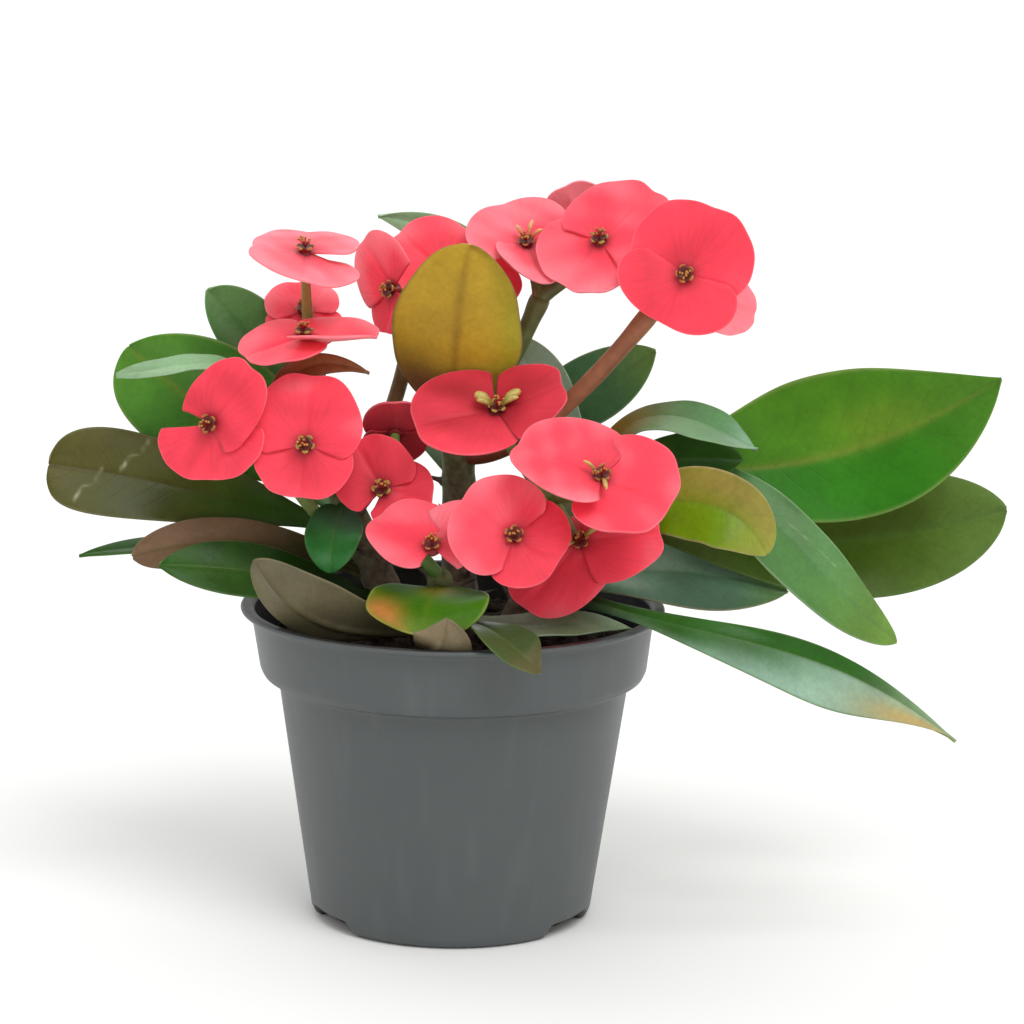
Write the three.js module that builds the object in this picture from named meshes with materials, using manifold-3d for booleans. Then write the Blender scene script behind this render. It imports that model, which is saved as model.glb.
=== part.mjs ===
// A crown of thorns (a large-flowered Euphorbia milii hybrid) in a round nursery pot of 12 cm.
// Millimetres, +Z up. The origin is the middle of the pot's flat underside; the front is towards -Y.
//
// The plant is described by short tables: four thorny stems, the flower stalks with their branches,
// one row for each bloom and one for each leaf. A few formulas turn each row into a closed solid.

import * as THREE from 'three';
import { mergeVertices } from 'three/addons/utils/BufferGeometryUtils.js';
import Module from 'manifold-3d';

const wasm = await Module();
wasm.setup();

// ---------------------------------------------------------------- driving dimensions

const POT = {
  height: 89, // floor to the top of the lip
  lipRadius: 60,
  bandTop: 56.8, // outer radius of the upright band under the lip
  bandFoot: 54.4,
  bandFootHeight: 71.7,
  stepHeight: 67.6, // where the band steps in to the body
  bodyTop: 49.2, // outer radius of the tapering body
  bodyFoot: 39.7,
  wall: 1,
  floor: 1.4,
  facets: 32, // sides of the turned pot
  notches: { count: 3, first: 89, width: 21, height: 4.2, depth: 12 }, // drain notches in the foot
};
const SOIL = { top: 79, lump: 1.3, lumpReach: 52, facets: 16, gap: 0.35 };
const GAP = 0.3; // clearance between pieces that touch
const BLADE = 0.8; // thickness of leaves and bracts
const LEAF = {
  rows: 7, // ribs across a long leaf
  fewRows: 5, // and across one that is shorter than shortLength
  shortLength: 60,
  cols: 4, // strips from edge to edge
  petiole: 0.12, // share of the length that is stalk
  petioleHalfWidth: 1.5,
  tipHalfWidth: 0.4,
  rootSwell: 1.2, // extra thickness at the very root
  highestRoot: 0.97, // leaves of a stem's tip start just under its rounded end
  pull: 4 / 3, // of a midrib's two inner control points for a bow of 1
};
const BRACT = {
  rows: 2,
  cols: 8,
  reach: 106, // half of the angle that one bract covers where its row gives none
  wing: 6, // and the fold of its two wings
  hub: 1.8, // radius of the open middle, where the cup stands
  body: 0.25, // exponent and narrowing of the rim formula
  narrowing: 0.8,
  breadth: 1.626, // width of a bract of length 1 by that formula
  notch: 0.07, // depth and half angle of the shallow notch in the rim
  notchAngle: 16,
  layer: 1.2, // the second bract lies this much lower
  slope: 4, // and sinks to that level within this distance
  droop: 1.2, // fall of the rim
};
const CUP = { neck: 1.35, gland: 2.9, height: 3.2, tuft: 1.4, tip: 0.5, sides: 5, steps: 3 };
const BRANCH = { sunk: 0.8, bend: 0.4, lift: 0.7 };
const LIMB = { sides: 5, steps: 4 };
const STEM = { sides: 6, steps: 10, dome: 0.1, blunt: 0.06 };
const THORN = {
  length: 7,
  radius: 1.15,
  sunk: 2.4, // length of the root inside the stem
  perStem: 15,
  first: 0.3, // place of the lowest on the stem, and the stretch that they cover
  stretch: 0.64,
  jitter: 0.5,
  turn: 137.5, // degrees from one to the next round the stem
  sweep: 0.25, // lean towards the stem's tip
  aboveSoil: 4,
  clear: 5, // distance kept from leaves and flower stalks
};
const SEED = 11;

// ---------------------------------------------------------------- the plant in tables

// Stems rise from one crown under the soil: start, bend and top, then radius at the start and the top.
const STEMS = {
  left: [[-3, 1, 62], [-20, 0, 88], [-36, 4, 132], 5.4, 4.4],
  right: [[4, 2, 62], [24, 4, 88], [40, 8, 134], 5.4, 4.4],
  back: [[1, 6, 62], [2, 20, 100], [0, 13, 146], 5.6, 4.4],
  front: [[0, -4, 62], [-4, -20, 82], [-4, -22, 104], 4.6, 3.6],
};
const CROWN = { centre: [0, 1, 62], radius: 9, squash: 0.6 };

// A bloom: centre, [azimuth, elevation] it faces (0 = front, 90 = right). Then for each of its two
// bracts: clock angle in the bloom's plane, length, width, how far it rises from the flat, how far
// its right and its left wing fold up from its middle, and half of the angle that it covers round
// the centre (all in degrees; the last four may be left out).
const BLOOMS = {
  bloom_01: [[-42, -5, 188], [0, 74], [0, 16, 29, 2], [182, 15.5, 30, 0, 16, -12]],
  bloom_02: [[-43, 15, 168.6], [0, 62], [-12, 15, 21, 6], [180, 15, 22, 0]],
  bloom_03: [[-42, -13, 166], [0, 76], [-118, 19, 26, -6], [98, 22, 24, 8, 30, 12]],
  bloom_04: [[-18, 8, 176.4], [-50, 10], [-45, 19, 21, 10, 6, 6, 85], [182, 13, 18, 10, 6, 6, 80]],
  bloom_05: [[-4, 18, 180], [-5, 40], [-50, 19, 28, 10], [112, 24, 25, 4]],
  bloom_06: [[19, 13, 188.6], [-10, 58], [-30, 19.5, 30, 8], [148, 18.5, 20, 4, 30, 4]],
  bloom_07: [[39, 4, 191], [-10, 50], [38, 24, 31, 8], [214, 18, 31]],
  bloom_08: [[34, -12, 107], [20, 20], [150, 12, 20, 4], [330, 10, 17, 4]],
  bloom_09: [[62, -10, 184], [-5, 20], [204, 16, 35, 4], [20, 21.5, 34, 12]],
  bloom_10: [[70.5, 13, 174.4], [30, 20], [115, 15, 18, 10], [295, 13, 16, 12]],
  bloom_11: [[37, 32, 189.4], [180, 10], [26, 18, 22, -8, 6, 6, 80], [180, 16, 24, -4, 6, 6, 80]],
  bloom_12: [[-67, -22, 143], [-20, 15], [38, 21.5, 22, 8, 6, 6, 102], [176, 16, 31, 2, 4, 4, 86]],
  bloom_13: [[-41, -25, 138], [0, 25], [4, 21, 30, 6], [186, 15.5, 27, 2]],
  bloom_14: [[-20, -18, 124.6], [-10, 30], [-35, 16, 23, 14], [95, 15, 20, 6]],
  bloom_15: [[-17, -3, 138], [180, 40], [0, 13, 18, 6], [180, 13, 18, 6]],
  bloom_16: [[-6, -37, 112.6], [-15, 52], [-60, 21, 24, 4, 6, 16], [45, 17, 22, 18, 6, 6, 85]],
  bloom_17: [[16, -42, 117], [-5, 32], [-58, 19, 30, 6], [118, 15, 27, 4]],
  bloom_18: [[39, -41, 133], [0, 48], [-66, 26, 32, 6, 4, 30], [116, 22, 34, 4, 10, 10]],
  bloom_19: [[11, -12, 146], [0, 55], [-105, 25, 33, 2, 6, 6, 98], [78, 20, 26, 26, 6, 6, 80]],
  bloom_20: [[34, -23, 112], [0, 24], [84, 24, 25, 6, 6, 6, 80], [218, 25.5, 26, 4, 6, 6, 82]],
};

// A flower stalk: stem it grows from, place on that stem (0 to 1), bend, fork, radius at the root and
// at the fork, the blooms that its branches carry, and its colour.
const STALKS = {
  stalk_right_top: ['back', 0.8, [18, 2, 126], [54, 4, 172], 2.6, 2.5, ['bloom_09', 'bloom_10'], 'brown'],
  stalk_middle_top: ['back', 0.88, [11, 12, 144], [23, 12, 174], 2.1, 2.6,
    ['bloom_06', 'bloom_07', 'bloom_11'], 'green'],
  stalk_back: ['left', 0.84, [-18, 16, 132], [-13, 13, 164], 2.2, 2.2, ['bloom_04', 'bloom_05'], 'brown'],
  stalk_left_top: ['left', 0.99, [-35, 1, 142], [-39, 2, 153], 2.2, 2,
    ['bloom_01', 'bloom_02', 'bloom_03'], 'green'],
  stalk_left: ['left', 0.6, [-38, -8, 112], [-47, -10, 128], 2, 1.8, ['bloom_12', 'bloom_13'], 'green'],
  stalk_front: ['front', 0.94, [-8, -26, 106], [-14, -20, 114], 2, 1.8,
    ['bloom_14', 'bloom_15', 'bloom_16'], 'green'],
  stalk_right: ['right', 0.7, [24, -4, 114], [25, -9, 121], 2.3, 2,
    ['bloom_17', 'bloom_18', 'bloom_19', 'bloom_20'], 'green'],
  stalk_right_low: ['right', 0.52, [28, -1, 99], [31, -6, 100], 1.8, 1.6, ['bloom_08'], 'green'],
};

// A leaf: stem, place on that stem, tip, bow of the midrib at its middle (or one near the root and
// one near the tip), [azimuth, elevation] its upper side faces, width, where it is widest (0 to 1),
// bluntness of the tip (0.5 round, 1 pointed), fold, twist (degrees), edge wave (mm), and its tint.
// Width, widest place and bluntness may be a pair, for a leaf whose two halves differ.
const LEAVES = {
  leaf_right_upper: ['right', 1.0, [152, 5, 154], [0, 6, -15], [5, 25], [41, 46], [0.62, 0.54],
    [0.85, 1], 6, 0, 0.8, 'fresh'],
  leaf_right_lower: ['right', 0.76, [157, 20, 114], [0, 10, -12],
    [5, 35], 38, 0.68, 0.6, 4, 0, 0.8, 'dark'],
  leaf_right_long: ['right', 0.78, [123, -15, 83], [[10.5, 1.5, 30], [-1.5, -8, 8.5]], [15, 40],
    [26, 17], 0.6, 0.6, 6, 0, 0.5, 'blue'],
  leaf_right_short: ['right', 0.66, [85, -28, 110], [[1, -6.5, 11], [6.5, -9, 16]], [10, 20],
    [23, 21], 0.62, 0.6, 4, 0, 0.5, 'olive'],
  leaf_right_arched: ['right', 0.9, [83, -6, 135], [[-1, 0.5, 18], [2.5, -4.5, 7]], [20, 60],
    [24, 16], 0.65, 0.5, 10, -50, 0.8, 'blue'],
  leaf_right_under: ['right', 0.88, [80, 0, 131], [0, -1, 2], [10, 45], 18, 0.6, 0.8, 6, 0, 0.4, 'dark'],
  leaf_right_drooping: ['right', 0.46, [137, -40, 61], [[4, -57, 10.5], [0, 0, 12.5]], [0, 30], [24, 9],
    [0.58, 0.5], [1.5, 1.2], 8, 10, 1, 'dark'],
  leaf_right_inner: ['right', 0.46, [95, 16, 90], [0, 2, 4], [10, 55], 29, 0.55, 0.7, 6, 0, 1, 'blue'],
  leaf_top: ['back', 0.97, [-23, 32, 194], [[22, 27.5, -1.5], [20, 0, 11.5]], [10, 10],
    [12, 17], 0.55, 0.9, 6, 0, 0.6, 'pale'],
  leaf_back_right: ['back', 0.8, [56, 22, 158], [0, 6, -3], [10, 30], 20, 0.6, 0.7, 6, 0, 0.8, 'blue'],
  leaf_back_tip: ['right', 0.97, [15, 20, 162], [[-1, 3.5, -4.5], [0, 0, -1]], [0, 10],
    [16, 12], 0.6, 0.7, 6, 0, 0.4, 'pale'],
  leaf_bronze: ['back', 0.9, [3, -6, 191], [-2, -7, 0], [180, 10], 36, 0.48, 0.5, 6, 0, 1.4, 'bronze'],
  leaf_left_top: ['left', 0.91, [-70, 14, 175], [0, 10, 2], [-20, 30],
    [21, 17], 0.6, 0.6, 6, 0, 0.5, 'blue'],
  leaf_left_round: ['left', 0.8, [-92, 12, 159], [0, 3, -4], [-15, 15], [41, 33], [0.55, 0.74],
    [0.6, 0.45], 6, 0, 0.5, 'fresh'],
  leaf_left_edge: ['left', 0.78, [-94, -6, 154], [[-8, -3, 29], [6.5, 0, 11.5]],
    [0, 84], 13, 0.64, 0.8, 6, -30, 0.5, 'pale'],
  leaf_left_brown: ['left', 0.8, [-24, -11, 156], [[-22.5, -11, 7], [-18.5, -9, 18.5]],
    [0, 35], 8, 0.6, 0.9, 6, 0, 0.3, 'umber'],
  leaf_left_long: ['left', 0.66, [-113, -3, 128], [0, 0, 2], [-10, 30], 27, [0.74, 0.8],
    [0.42, 0.3], 5, 0, 0.8, 'umber'],
  leaf_left_narrow: ['left', 0.54, [-106, 8, 100], [0, 2, 4], [0, 75], 14, 0.5, 1, 8, 0, 0.5, 'dark'],
  leaf_left_curled: ['left', 0.48, [-89, -13, 104], [0, -2, 8],
    [180, -20], 14, 0.65, 0.5, 6, 0, 0.5, 'umber'],
  leaf_left_low: ['left', 0.4, [-81, -23, 104], [0, -3, 3], [-10, 35],
    [17, 17], 0.6, 0.8, 6, 0, 0.3, 'dark'],
  leaf_rim_left: ['front', 0.52, [-54, -33, 108], [[2.5, -6, -0.5], [-1.5, -4.5, -14.5]], [150, 20],
    [17, 28], [0.78, 0.68], 0.5, 6, 0, 0.8, 'umber'],
  leaf_centre_hanging: ['left', 0.8, [-34, -26, 103], [[-1.5, -5.5, 1], [-1, -7, 1.5]],
    [0, 15], 15.5, 0.4, 0.6, 6, 0, 0.3, 'dark'],
  leaf_centre: ['front', 0.86, [-9, -52, 91.5], [0, -2, 4], [-10, 50], 34, 0.6, 0.45, 8, 0, 0.8, 'olive'],
  leaf_rim_front: ['front', 0.58, [23, -68, 86], [[2, -8.5, 9], [-1, -15.5, 7]], [10, 60],
    [12, 15], 0.66, 0.6, 8, 0, 0.6, 'dark'],
  leaf_rim_folded: ['front', 0.48, [-2, -58, 98], [[-6, -23, 3], [0.5, -9, -6.5]],
    [180, 15], 17, 0.66, 0.9, 6, 0, 0.4, 'umber'],
  leaf_rim_right: ['front', 0.78, [49, -20, 87], [[-4, -4, -7], [-1, -4.5, 2.5]],
    [0, 75], 15, 0.55, 0.9, 6, 0, 0.3, 'pale'],
  leaf_back_left: ['left', 0.6, [-74, 62, 122], [0, 2, 10], [-150, 55], 30, 0.62, 0.6, 6, 0, 0.8, 'fresh'],
  leaf_back_middle: ['back', 0.6, [-6, 100, 118], [0, 0, 14], [180, 55], 32, 0.62, 0.6, 6, 0, 0.8, 'dark'],
  leaf_back_low: ['right', 0.5, [78, 66, 108], [0, 2, 10], [140, 55], 30, 0.62, 0.6, 6, 0, 0.8, 'fresh'],
};

const TINTS = {
  fresh: 0x3f7a1e,
  dark: 0x2c4f1c,
  blue: 0x54805a,
  pale: 0x8fae86,
  olive: 0x83892a,
  bronze: 0xa98a2e,
  umber: 0x6d6142,
};

// ---------------------------------------------------------------- vectors and solids

const DEG = Math.PI / 180;
const vec = (p) => new THREE.Vector3(p[0], p[1], p[2]);

/** Unit vector towards azimuth az (0 = front, 90 = right) and elevation el, in degrees. */
function facing([az, el]) {
  const level = Math.cos(el * DEG);
  return vec([Math.sin(az * DEG) * level, -Math.cos(az * DEG) * level, Math.sin(el * DEG)]);
}

/** The part of direction a that stands square to the unit vector t, made a unit vector. */
function squareTo(a, t) {
  return a.clone().addScaledVector(t, -a.dot(t)).normalize();
}

/** A closed geometry as a solid that can be joined and cut. */
function solidOf(geometry) {
  const bare = geometry.clone();
  bare.deleteAttribute('normal');
  bare.deleteAttribute('uv');
  const merged = mergeVertices(bare, 1e-4);
  return new wasm.Manifold(
    new wasm.Mesh({
      numProp: 3,
      vertProperties: new Float32Array(merged.attributes.position.array),
      triVerts: new Uint32Array(merged.index.array),
    })
  );
}

/** A joined or cut solid as a geometry for a mesh. */
function geometryOf(solid) {
  const mesh = solid.getMesh();
  const geometry = new THREE.BufferGeometry();
  geometry.setAttribute('position', new THREE.BufferAttribute(mesh.vertProperties, 3));
  geometry.setIndex(new THREE.BufferAttribute(mesh.triVerts, 1));
  return geometry;
}

const joined = (solids) => solids.reduce((sum, solid) => sum.add(solid));

/** The largest body of a solid, without scraps that a cut left loose. */
function largestOf(solid) {
  const bodies = solid.decompose();
  return bodies.reduce((best, body) => (body.volume() > best.volume() ? body : best));
}

/** A geometry from a list of points and of the triangles between them. */
function meshGeometry(points, faces) {
  const geometry = new THREE.BufferGeometry();
  const places = points.flatMap((p) => [p.x, p.y, p.z]);
  geometry.setAttribute('position', new THREE.Float32BufferAttribute(places, 3));
  geometry.setIndex(faces);
  return geometry;
}

/**
 * A thin blade: a grid of middle points, moved half a thickness to both sides along its normals,
 * with the same diagonals on both faces and a wall round the edge.
 */
function bladeGeometry(rows, cols, middle, thickness) {
  const at = (i, j) => middle[i * (cols + 1) + j];
  const upper = [];
  const lower = [];
  for (let i = 0; i <= rows; i++) {
    for (let j = 0; j <= cols; j++) {
      const along = at(Math.min(i + 1, rows), j).clone().sub(at(Math.max(i - 1, 0), j));
      const across = at(i, Math.min(j + 1, cols)).clone().sub(at(i, Math.max(j - 1, 0)));
      const step = along.cross(across).setLength(thickness(i / rows) / 2);
      upper.push(at(i, j).clone().add(step));
      lower.push(at(i, j).clone().sub(step));
    }
  }
  const count = upper.length;
  const faces = [];
  for (let i = 0; i < rows; i++) {
    for (let j = 0; j < cols; j++) {
      const a = i * (cols + 1) + j;
      const b = a + cols + 1;
      faces.push(a, b, b + 1, a, b + 1, a + 1);
      faces.push(count + a, count + b + 1, count + b, count + a, count + a + 1, count + b + 1);
    }
  }
  const edge = [];
  for (let i = 0; i < rows; i++) edge.push(i * (cols + 1));
  for (let j = 0; j < cols; j++) edge.push(rows * (cols + 1) + j);
  for (let i = rows; i > 0; i--) edge.push(i * (cols + 1) + cols);
  for (let j = cols; j > 0; j--) edge.push(j);
  edge.forEach((p, k) => {
    const q = edge[(k + 1) % edge.length];
    faces.push(q, p, count + p, q, count + p, count + q);
  });
  return meshGeometry([...upper, ...lower], faces);
}

/** A solid skinned over rings of equally many points, closed with flat ends. */
function loftGeometry(rings) {
  const sides = rings[0].length;
  const faces = [];
  for (let k = 0; k + 1 < rings.length; k++) {
    for (let i = 0; i < sides; i++) {
      const a = k * sides + i;
      const b = k * sides + ((i + 1) % sides);
      faces.push(a, b, b + sides, a, b + sides, a + sides);
    }
  }
  const last = (rings.length - 1) * sides;
  for (let i = 1; i + 1 < sides; i++) {
    faces.push(0, i + 1, i);
    faces.push(last, last + i, last + i + 1);
  }
  return meshGeometry(rings.flat(), faces);
}

/** A ring of points about a centre, in the plane of the unit vectors x and y. */
function ringOf(centre, x, y, radius, sides) {
  return Array.from({ length: sides }, (_, i) => {
    const turn = (i / sides) * 2 * Math.PI;
    return centre
      .clone()
      .addScaledVector(x, radius * Math.cos(turn))
      .addScaledVector(y, radius * Math.sin(turn));
  });
}

/** Rings of a round bar along a curve; radius(t) is given from 0 at the start to 1 at the end. */
function barRings(curve, radius, sides, steps) {
  const { normals, binormals } = curve.computeFrenetFrames(steps, false);
  return normals.map((normal, k) =>
    ringOf(curve.getPointAt(k / steps), normal, binormals[k], radius(k / steps), sides)
  );
}

/** Evenly spread numbers from 0 to 1 that are the same at each run. */
function seededRandom(seed) {
  let state = seed;
  return () => {
    state = (state * 1664525 + 1013904223) % 4294967296;
    return state / 4294967296;
  };
}

// ---------------------------------------------------------------- pot and soil

/** The pot is a turned profile: body, step, band and lip outside, the same line inside. */
function potProfile() {
  const { wall, floor, bodyFoot, bodyTop, stepHeight, bandFoot, bandFootHeight, bandTop } = POT;
  const top = POT.height;
  const outside = [
    [0, 0], [bodyFoot - 2.5, 0], [bodyFoot - 1, 0.8], [bodyFoot, 2.5],
    [bodyTop, stepHeight], [bodyTop + 1, stepHeight + 1], [bandFoot - 1, stepHeight + 2],
    [bandFoot, bandFootHeight], [bandTop, top - 2.8], [bandTop + 0.7, top - 1.8],
    [POT.lipRadius - 0.4, top - 1.4], [POT.lipRadius, top - 0.7], [POT.lipRadius - 0.5, top],
  ];
  const inside = [
    [bandTop + 0.2, top], [bandTop - 0.9, top - 1], [bandTop - wall, top - 2.8],
    [bandFoot - wall, bandFootHeight + 0.4], [bandFoot - 2, stepHeight + 3.2],
    [bodyTop - 0.1, stepHeight + 2.1], [bodyTop - wall, stepHeight],
    [bodyFoot - wall, 3], [bodyFoot - 1.9, floor], [0, floor],
  ];
  return [...outside, ...inside].map(([r, z]) => new THREE.Vector2(r, z));
}

/** The pot with the drain notches cut into its foot. */
function potSolid() {
  const { count, first, width, height, depth } = POT.notches;
  let pot = solidOf(new THREE.LatheGeometry(potProfile(), POT.facets).rotateX(Math.PI / 2));
  for (let k = 0; k < count; k++) {
    const notch = new THREE.BoxGeometry(depth, width, 2 * height);
    notch.translate(POT.bodyFoot, 0, 0).rotateZ((first + (k * 360) / count) * DEG);
    pot = pot.subtract(solidOf(notch));
  }
  return pot;
}

/** Soft lumps of the peat: three crossed waves, flat at the pot's wall. */
function lump(x, y) {
  const small = Math.sin(x / 5.1 + 1) * Math.cos(y / 4.3);
  const slanted = 0.6 * Math.sin((x - y) / 3.2);
  const broad = 0.5 * Math.cos((x + 2 * y) / 7);
  const edge = 1 - Math.min(1, Math.hypot(x, y) / SOIL.lumpReach) ** 4;
  return SOIL.lump * (small + slanted + broad) * edge;
}

/** The peat fills the pot up to a lumpy surface, a hair clear of the wall. */
function soilSolid() {
  const { gap, top } = SOIL;
  const inner = POT.wall + gap;
  const profile = [
    [0, POT.floor + gap], [POT.bodyFoot - 3, POT.floor + gap + 0.2], [POT.bodyFoot - inner - 0.1, 3.6],
    [POT.bodyTop - inner, POT.stepHeight + 0.1], [POT.bodyTop - 0.6, POT.stepHeight + 2.5],
    [POT.bandFoot - 2.3, POT.stepHeight + 3.8], [POT.bandFoot - inner, POT.bandFootHeight + 0.9],
    [POT.bandFoot - 0.6, top - 1.6], [SOIL.lumpReach, top - 0.6],
    ...[44, 35, 26, 17, 8].map((r) => [r, top]),
    [0, top],
  ].map(([r, z]) => new THREE.Vector2(r, z));
  const geometry = new THREE.LatheGeometry(profile, SOIL.facets).rotateX(Math.PI / 2);
  const place = geometry.attributes.position;
  for (let k = 0; k < place.count; k++) {
    if (place.getZ(k) > top - 0.1) {
      place.setZ(k, place.getZ(k) + lump(place.getX(k), place.getY(k)));
    }
  }
  return solidOf(geometry);
}

// ---------------------------------------------------------------- stems and thorns

const stemCurves = Object.fromEntries(
  Object.entries(STEMS).map(([name, row]) => [
    name,
    new THREE.QuadraticBezierCurve3(vec(row[0]), vec(row[1]), vec(row[2])),
  ])
);

/** Radius along a stem: an even taper that rounds off over the last tenth. */
function stemRadius(name, t) {
  const [, , , start, end] = STEMS[name];
  const intoDome = Math.max(0, (t - 1 + STEM.dome) / STEM.dome);
  return (start + (end - start) * t) * Math.sqrt(Math.max(STEM.blunt, 1 - intoDome ** 2));
}

/** Straight sharp thorns in a spiral round a stem, left out where a leaf or stalk starts. */
function thornGeometries(name, grow) {
  const random = seededRandom(SEED + name.length);
  const curve = stemCurves[name];
  const thorns = [];
  for (let k = 0; k < THORN.perStem; k++) {
    const t = THORN.first + (THORN.stretch * (k + THORN.jitter * random())) / THORN.perStem;
    const root = curve.getPointAt(t);
    const along = curve.getTangentAt(t);
    const out = squareTo(vec([1, 0.3, 0]), along).applyAxisAngle(along, k * THORN.turn * DEG);
    out.addScaledVector(along, THORN.sweep).normalize();
    const reach = stemRadius(name, t) + THORN.length;
    const tip = root.clone().addScaledVector(out, reach);
    if (tip.z < SOIL.top + THORN.aboveSoil || !clearOfGrowth(tip, root)) continue;
    const height = THORN.length + THORN.sunk + grow;
    const cone = new THREE.ConeGeometry(THORN.radius + grow, height, 3);
    cone.applyQuaternion(new THREE.Quaternion().setFromUnitVectors(vec([0, 1, 0]), out));
    cone.translate(...root.addScaledVector(out, reach + grow - height / 2).toArray());
    thorns.push(cone);
  }
  return thorns;
}

/** The four stems with their thorns and crown as one plant body, grow mm fatter than real. */
function stemsSolid(grow) {
  const solids = [];
  for (const name of Object.keys(STEMS)) {
    const rings = barRings(stemCurves[name], (t) => stemRadius(name, t) + grow, STEM.sides, STEM.steps);
    solids.push(solidOf(loftGeometry(rings)), ...thornGeometries(name, grow).map(solidOf));
  }
  const crown = new THREE.SphereGeometry(CROWN.radius + grow, 8, 5).rotateX(Math.PI / 2);
  crown.scale(1, 1, CROWN.squash).translate(...CROWN.centre);
  solids.push(solidOf(crown));
  return joined(solids);
}

// ---------------------------------------------------------------- leaves

/** The midrib of a leaf: from the stem's axis to the tip, with one bow or two. */
function midribOf([stem, place, tip, bow]) {
  const root = stemCurves[stem].getPointAt(Math.min(place, LEAF.highestRoot));
  const [first, second] = Array.isArray(bow[0]) ? bow : [bow, bow];
  const along = (share, pull) =>
    root.clone().lerp(vec(tip), share).addScaledVector(vec(pull), LEAF.pull);
  return new THREE.CubicBezierCurve3(root, along(1 / 3, first), along(2 / 3, second), vec(tip));
}

/** The value for a half of a leaf: a pair holds one for the half below 0 and one for the other. */
const forHalf = (value, v) => (Array.isArray(value) ? value[v < 0 ? 0 : 1] : value);

/**
 * Half width of a leaf at u from 0 (root) to 1 (tip): a narrow petiole, then a power curve
 * s^a (1-s)^b that is widest at the row's widest place.
 */
function leafHalfWidth(u, width, widest, blunt) {
  const s = Math.max(0, (u - LEAF.petiole) / (1 - LEAF.petiole));
  const a = (blunt * widest) / (1 - widest);
  const peak = widest ** a * (1 - widest) ** blunt;
  const full = (s ** a * (1 - s) ** blunt) / peak;
  const petiole = LEAF.petioleHalfWidth * (1 - s);
  return Math.max(LEAF.tipHalfWidth, petiole + (width / 2 - petiole) * full);
}

/** A leaf blade: ribs across the midrib, folded along it, twisted, and waved towards the edge. */
function leafGeometry(row) {
  const [, , , , face, width, widest, blunt, fold, twist, wave] = row;
  const midrib = midribOf(row);
  const rows = midrib.getLength() < LEAF.shortLength ? LEAF.fewRows : LEAF.rows;
  const upper = facing(face);
  const middle = [];
  for (let i = 0; i <= rows; i++) {
    const turn = Math.sin((Math.PI / 2) * ((i - 1) / (rows - 1)));
    const u = i === 0 ? 0 : LEAF.petiole + (1 - LEAF.petiole) * turn;
    const along = midrib.getTangent(u);
    const normal = squareTo(upper, along).applyAxisAngle(along, twist * DEG * (u - 0.5));
    const side = normal.clone().cross(along);
    for (let j = 0; j <= LEAF.cols; j++) {
      const v = (2 * j) / LEAF.cols - 1;
      const [wide, place, end] = [width, widest, blunt].map((value) => forHalf(value, v));
      const half = leafHalfWidth(u, wide, place, end);
      const lift = Math.abs(v) * half * Math.sin(fold * DEG) + wave * v * v * Math.sin(9 * u + 2 * v);
      middle.push(
        midrib
          .getPoint(u)
          .addScaledVector(side, v * half * Math.cos(fold * DEG))
          .addScaledVector(normal, lift)
      );
    }
  }
  return bladeGeometry(rows, LEAF.cols, middle, (u) => BLADE + LEAF.rootSwell * (1 - u) ** 6);
}

/** True where a thorn's tip keeps away from every leaf's and stalk's first stretch. */
function clearOfGrowth(tip, root) {
  const starts = [...Object.values(LEAVES).map(midribOf), ...Object.values(STALKS).map(stalkCurve)];
  return starts.every((curve) => {
    for (let u = 0; u <= 0.4; u += 0.05) {
      const p = curve.getPoint(u);
      const nearest = Math.min(p.distanceTo(tip), p.distanceTo(root.clone().lerp(tip, 0.7)));
      if (nearest < THORN.clear) return false;
    }
    return true;
  });
}

// ---------------------------------------------------------------- blooms and flower stalks

/** Axes of a bloom: right and up in its plane, and the way it faces. */
function bloomAxes([, face]) {
  const out = facing(face);
  const right = vec([Math.cos(face[0] * DEG), Math.sin(face[0] * DEG), 0]);
  return { right, up: out.clone().cross(right), out };
}

/**
 * One kidney-shaped bract: a fan about the bloom's centre. Its rim is at
 * length * cos(narrowing * a)^body for the angle a from its middle, with a shallow notch there,
 * and the fan is stretched sideways to the bract's width.
 */
function bractGeometry(row, bract, layer) {
  const [clock, length, width, rise = 0, foldRight = BRACT.wing, foldLeft = BRACT.wing] = bract;
  const reach = bract[6] ?? BRACT.reach;
  const { right, up, out } = bloomAxes(row);
  const middle = [];
  for (let i = 0; i <= BRACT.rows; i++) {
    for (let j = 0; j <= BRACT.cols; j++) {
      const a = ((2 * j) / BRACT.cols - 1) * reach * DEG;
      const notch = 1 - BRACT.notch * Math.exp(-((a / (BRACT.notchAngle * DEG)) ** 2));
      const rim = length * Math.cos(BRACT.narrowing * a) ** BRACT.body * notch;
      const r = BRACT.hub + (rim - BRACT.hub) * (i / BRACT.rows) ** 0.8;
      const x = r * Math.cos(a);
      const stretch = 1 + (width / (length * BRACT.breadth) - 1) * (i / BRACT.rows);
      const y = r * Math.sin(a) * stretch;
      const under = layer * Math.min(1, (r - BRACT.hub) / BRACT.slope);
      const wing = Math.abs(y) * Math.tan((y < 0 ? foldRight : foldLeft) * DEG);
      const bend = Math.max(0, x) * Math.tan(rise * DEG) + wing;
      const lift = bend - BRACT.droop * (r / length) ** 3 - under;
      const turn = (90 - clock) * DEG;
      middle.push(
        vec(row[0])
          .addScaledVector(right, x * Math.cos(turn) - y * Math.sin(turn))
          .addScaledVector(up, x * Math.sin(turn) + y * Math.cos(turn))
          .addScaledVector(out, lift)
      );
    }
  }
  return bladeGeometry(BRACT.rows, BRACT.cols, middle, () => BLADE);
}

/** The two bracts of a bloom as one body, round the open middle where the cup stands. */
function bloomSolid(row) {
  const [, , first, second] = row;
  const above = solidOf(bractGeometry(row, first, 0));
  return above.add(solidOf(bractGeometry(row, second, BRACT.layer)));
}

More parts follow.
